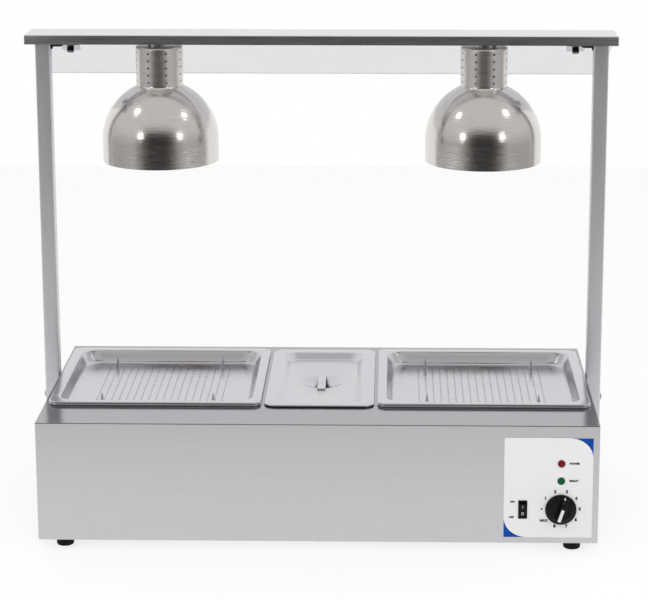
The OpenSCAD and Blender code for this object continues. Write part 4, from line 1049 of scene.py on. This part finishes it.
def film_corner(x, z, side):
    """Corner (x, z) of the film out to the arc x - w (1 - cos a), z - h (1 - sin a), as a fan. A side of -1
    turns the signs round for the opposite corner."""
    a = np.radians(np.linspace(0, 90, CORNER_POINTS))
    print_y = np.full(CORNER_POINTS, film_y - PRINT_LIFT)
    arc = np.column_stack([x + side * CORNER_WIDE * (np.cos(a) - 1), print_y,
                           z + side * CORNER_HIGH * (np.sin(a) - 1)])
    i = np.arange(CORNER_POINTS - 1)
    hub = np.full(len(i), CORNER_POINTS)
    return np.vstack([arc, [x, print_y[0], z]]), np.column_stack([i, hub, i + 1, i + 1])


EDGE = 0.3
corners = new_piece("film_blue_corners", [film_corner(plate_high[0] - EDGE, plate_high[2] - EDGE, 1),
                                          film_corner(plate_low[0] + EDGE, plate_low[2] + EDGE, -1)],
                    blue_ink, "station")
print("print:", count_faces(ink, corners))

# %% [markdown]
# ## Rocker signs
# The rocker's two faces carry a white I and O. They lie on the rocker's own sloping faces, so they ride on
# it and tilt with it. The rocker rests with its lower half pressed in.

# %% Rocker signs
ROCKER_TILT = 8.0
ROCKER_VALLEY = 5.6
ROCKER_CROWN = 7.6
ROCKER_HALF = 11.8
PIVOT_Y = 3.0
SIGN_Z = 6.0
SIGN_LIFTS = (0.04, 0.06)
STROKE_WIDE, STROKE_HIGH, STROKE_R = 0.9, 4.4, 0.3
ZERO_RADII = (2.5, 1.8)
ZERO_NARROW = 0.85
front_y = box_mm("body_wrap")[0][1]
switch_z = middle_mm("switch_housing")[2]


def on_rocker(u, v, lift):
    """Points u, v of a rocker face: its depth is valley + (crown - valley) |v| / half, and the whole is
    turned by the tilt about the pivot."""
    t = math.radians(ROCKER_TILT)
    depth = -(ROCKER_VALLEY + (ROCKER_CROWN - ROCKER_VALLEY) * np.abs(v) / ROCKER_HALF + lift)
    y = depth * math.cos(t) - v * math.sin(t)
    z = depth * math.sin(t) + v * math.cos(t)
    return np.stack([rocker_x + u, front_y + PIVOT_Y + y, switch_z + z], axis=-1)


stroke = rounded_loop(STROKE_WIDE, STROKE_HIGH, STROKE_R, 4, 2) + [0, SIGN_Z]
bar = np.stack([on_rocker(stroke[:, 0], stroke[:, 1], lift) for lift in SIGN_LIFTS])
ovals = [ring(r, 48) * [ZERO_NARROW, 1.0] - [0, SIGN_Z] for r in ZERO_RADII]
zero = np.stack([on_rocker(oval[:, 0], oval[:, 1], SIGN_LIFTS[1]) for oval in ovals])
signs = new_piece("rocker_signs", [strips(bar), cap(bar[-1]), strips(zero)], white_abs, "rocker")
print("signs:", count_faces(signs))

# %% [markdown]
# ## Finishes for the CAD pieces that stay
# Screws, nuts, glands, wiring, the well and the spikes are right as they are, and take a finish by name.

# %% Finish the remaining nodes
STAYS = {
    casing_steel: ["base_plate"],
    deck_steel: ["well", "divider_bar_left", "divider_bar_right", "element_brackets", "sensor_clip"],
    pan_steel: ["spikes_left", "spikes_right"],
    zinc_steel: ["foot_screws", "panel_screws", "thermostat_screws", "spindle", "thermostat", "post_bolts",
                 "post_nuts", "guard_screws", "lamp_stems", "lamp_nuts"],
    black_rubber: ["grommets"],
    black_abs: ["indicator_sleeves", "cable_gland", "gland_nut", "guard_nuts"],
    white_abs: ["terminal_block"],
    porcelain: ["lamp_holders"],
    brass: ["element_glands", "earth_stud"],
    copper: ["sensor"],
    dull_steel: ["heating_element"],
    black_pvc: ["lamp_leads", "wiring"],
}
for coat, names in STAYS.items():
    for name in names:
        for slot in NODES[name].material_slots:
            slot.material = coat
shown = {n for n, o in NODES.items() if not o.hide_render}
print("nodes that stay:", len(shown), "without a finish:", shown - set(sum(STAYS.values(), [])))

# %% [markdown]
# ## Studio
# Polished steel shows the room more than itself. The picture was taken before a white backdrop, from a dim
# room with soft lamps to both sides: the white wraps round the edges of the spun shades, their middles show
# the dim room, and the fascia of the shelf looks straight into it. The world is that room: white behind,
# grey at the sides, lighter towards the ceiling, and dark at eye level in front.

# %% World
# Each mask grows from 0 to 1 between two values of one axis of the view's direction.
ROOM_MASKS = {"behind": ("Y", 0.25, 0.4), "ahead": ("Y", -0.62, -0.97), "level": ("Z", 0.66, 0.2),
              "rising": ("Z", -0.3, 0.35)}
world = bpy.data.worlds.new("studio_room")
bpy.context.scene.world = world
world.use_nodes = True
room = world.node_tree
way = add(room, "ShaderNodeTexCoord")
axes = add(room, "ShaderNodeSeparateXYZ", {"Vector": way.outputs["Generated"]})
masks = {name: add(room, "ShaderNodeMapRange", {"Value": axes.outputs[axis]},
                   {"From Min": start, "From Max": end}, interpolation_type="SMOOTHSTEP").outputs["Result"]
         for name, (axis, start, end) in ROOM_MASKS.items()}
dim = add(room, "ShaderNodeMath", {0: masks["ahead"], 1: masks["level"]}, operation="MULTIPLY")
sides = add(room, "ShaderNodeMix", {"Factor": masks["rising"]},
            {6: light("#aeaba9"), 7: light("#d9d7d5")}, data_type="RGBA")
walls = add(room, "ShaderNodeMix", {"Factor": masks["behind"], 6: sides.outputs[2]},
            {7: light("#ffffff")}, data_type="RGBA")
gloom = add(room, "ShaderNodeMix", {"Factor": dim.outputs["Value"], 6: walls.outputs[2]},
            {7: light("#3a3938")}, data_type="RGBA")
path = add(room, "ShaderNodeLightPath")
eye_rays = {0: path.outputs["Is Camera Ray"], 1: path.outputs["Is Transmission Ray"]}
direct = add(room, "ShaderNodeMath", eye_rays, operation="MAXIMUM")
seen = add(room, "ShaderNodeMix", {"Factor": direct.outputs["Value"], 6: gloom.outputs[2]},
           {7: light("#ffffff")}, data_type="RGBA")
room.links.new(seen.outputs[2], room.nodes["Background"].inputs["Color"])
print("world nodes:", len(room.nodes))

# %% [markdown]
# ## Lamps
# Two small soft boxes stand low in front to both sides and two hang higher at the sides. A wide one fills the
# film, the plastic and the floor from the front, and stays out of what the steel mirrors. Places are in
# metres.

# %% Lamps
BOX_SIDE, FILL_SIDE = 0.42, 1.4
# Place, what it faces, its side and watts.
SOFT_BOXES = {
    "soft_box_left": ((-1.9, -2.3, 1.25), (0, 0, 0.5), BOX_SIDE, 2.6),
    "soft_box_right": ((1.9, -2.2, 1.25), (0, 0, 0.5), BOX_SIDE, 2.5),
    "high_box_left": ((-2.3, -0.7, 3.2), (0, 0, 0.4), BOX_SIDE, 2.6),
    "high_box_right": ((2.3, -0.7, 3.2), (0, 0, 0.4), BOX_SIDE, 2.6),
    "front_fill": ((0, -2.6, 1.5), (0.2, 0, 0.2), FILL_SIDE, 30.0),
}


def soft_box(name, place, aim, side, watts):
    """A square area lamp at place, turned to face aim."""
    lamp = bpy.data.lights.new(name, "AREA")
    lamp.shape, lamp.size, lamp.energy = "SQUARE", side, watts
    holder = in_scene(name, lamp)
    holder.location = place
    holder.rotation_euler = (Vector(place) - Vector(aim)).to_track_quat("Z", "Y").to_euler()
    return holder


boxes = {name: soft_box(name, *how) for name, how in SOFT_BOXES.items()}
boxes["front_fill"].visible_glossy = False
print("soft boxes:", len(boxes))

# %% [markdown]
# ## Floor
# The floor is pale paper that reaches a little way in front. To the camera, in mirroring metal and through
# the clear guard it glows nearly white but for the object's shadow. The glow lights nothing else. It is found
# by the rays that strike it, which is quieter than aiming rays at so wide a sheet.

# %% Floor
FLOOR_X, FLOOR_FRONT, FLOOR_BACK = 2.0, -1.3, 3.0
GLOW_SHARE = 0.65
GLOW = 1.12
floor_points = [(-FLOOR_X, FLOOR_FRONT, 0), (FLOOR_X, FLOOR_FRONT, 0), (FLOOR_X, FLOOR_BACK, 0),
                (-FLOOR_X, FLOOR_BACK, 0)]
floor_mesh = bpy.data.meshes.new("pale_floor")
floor_mesh.from_pydata(floor_points, [], [(0, 1, 2, 3)])
floor = in_scene("pale_floor", floor_mesh)
paper = finish("white_studio_paper", 60, ("#ebebeb", "#efefef"), (0.85, 0.95))
tree = paper.node_tree
shader = tree.nodes["Principled BSDF"]
glow = add(tree, "ShaderNodeEmission", None, {"Color": light("#ffffff"), "Strength": GLOW})
sight = add(tree, "ShaderNodeLightPath")
mirrored = add(tree, "ShaderNodeMath", {0: sight.outputs["Is Glossy Ray"],
                                        1: sight.outputs["Is Transmission Ray"]}, operation="MAXIMUM")
sees_it = add(tree, "ShaderNodeMath", {0: sight.outputs["Is Camera Ray"], 1: mirrored.outputs["Value"]},
              operation="MAXIMUM")
share = add(tree, "ShaderNodeMath", {0: sees_it.outputs["Value"]}, {1: GLOW_SHARE}, operation="MULTIPLY")
blend = add(tree, "ShaderNodeMixShader", {0: share.outputs["Value"], 1: shader.outputs["BSDF"],
                                          2: glow.outputs["Emission"]})
tree.links.new(blend.outputs["Shader"], tree.nodes["Material Output"].inputs["Surface"])
paper.cycles.emission_sampling = "NONE"
floor_mesh.materials.append(paper)
print("floor:", floor_points[0], floor_points[2])

# %% [markdown]
# ## Camera
# The camera is placed and aimed as in the picture, with a small lens shift, so that the posts lean less than
# they would in a lens that only looks down.

# %% Camera
LENS = 119.16
SHIFT = (-0.0425, -0.14)
CAMERA_AT = (0.1195, -3.5307, 1.306)
LOOKS_DOWN = 12.46
LOOKS_LEFT = 1.1
camera_data = bpy.data.cameras.new("camera")
camera_data.lens, (camera_data.shift_x, camera_data.shift_y) = LENS, SHIFT
camera = in_scene("camera", camera_data)
camera.location = CAMERA_AT
camera.rotation_euler = (math.radians(90 - LOOKS_DOWN), 0, math.radians(LOOKS_LEFT))
bpy.context.scene.camera = camera
bpy.context.scene.view_settings.view_transform = "Standard"
print("camera:", [round(v, 3) for v in camera.location])
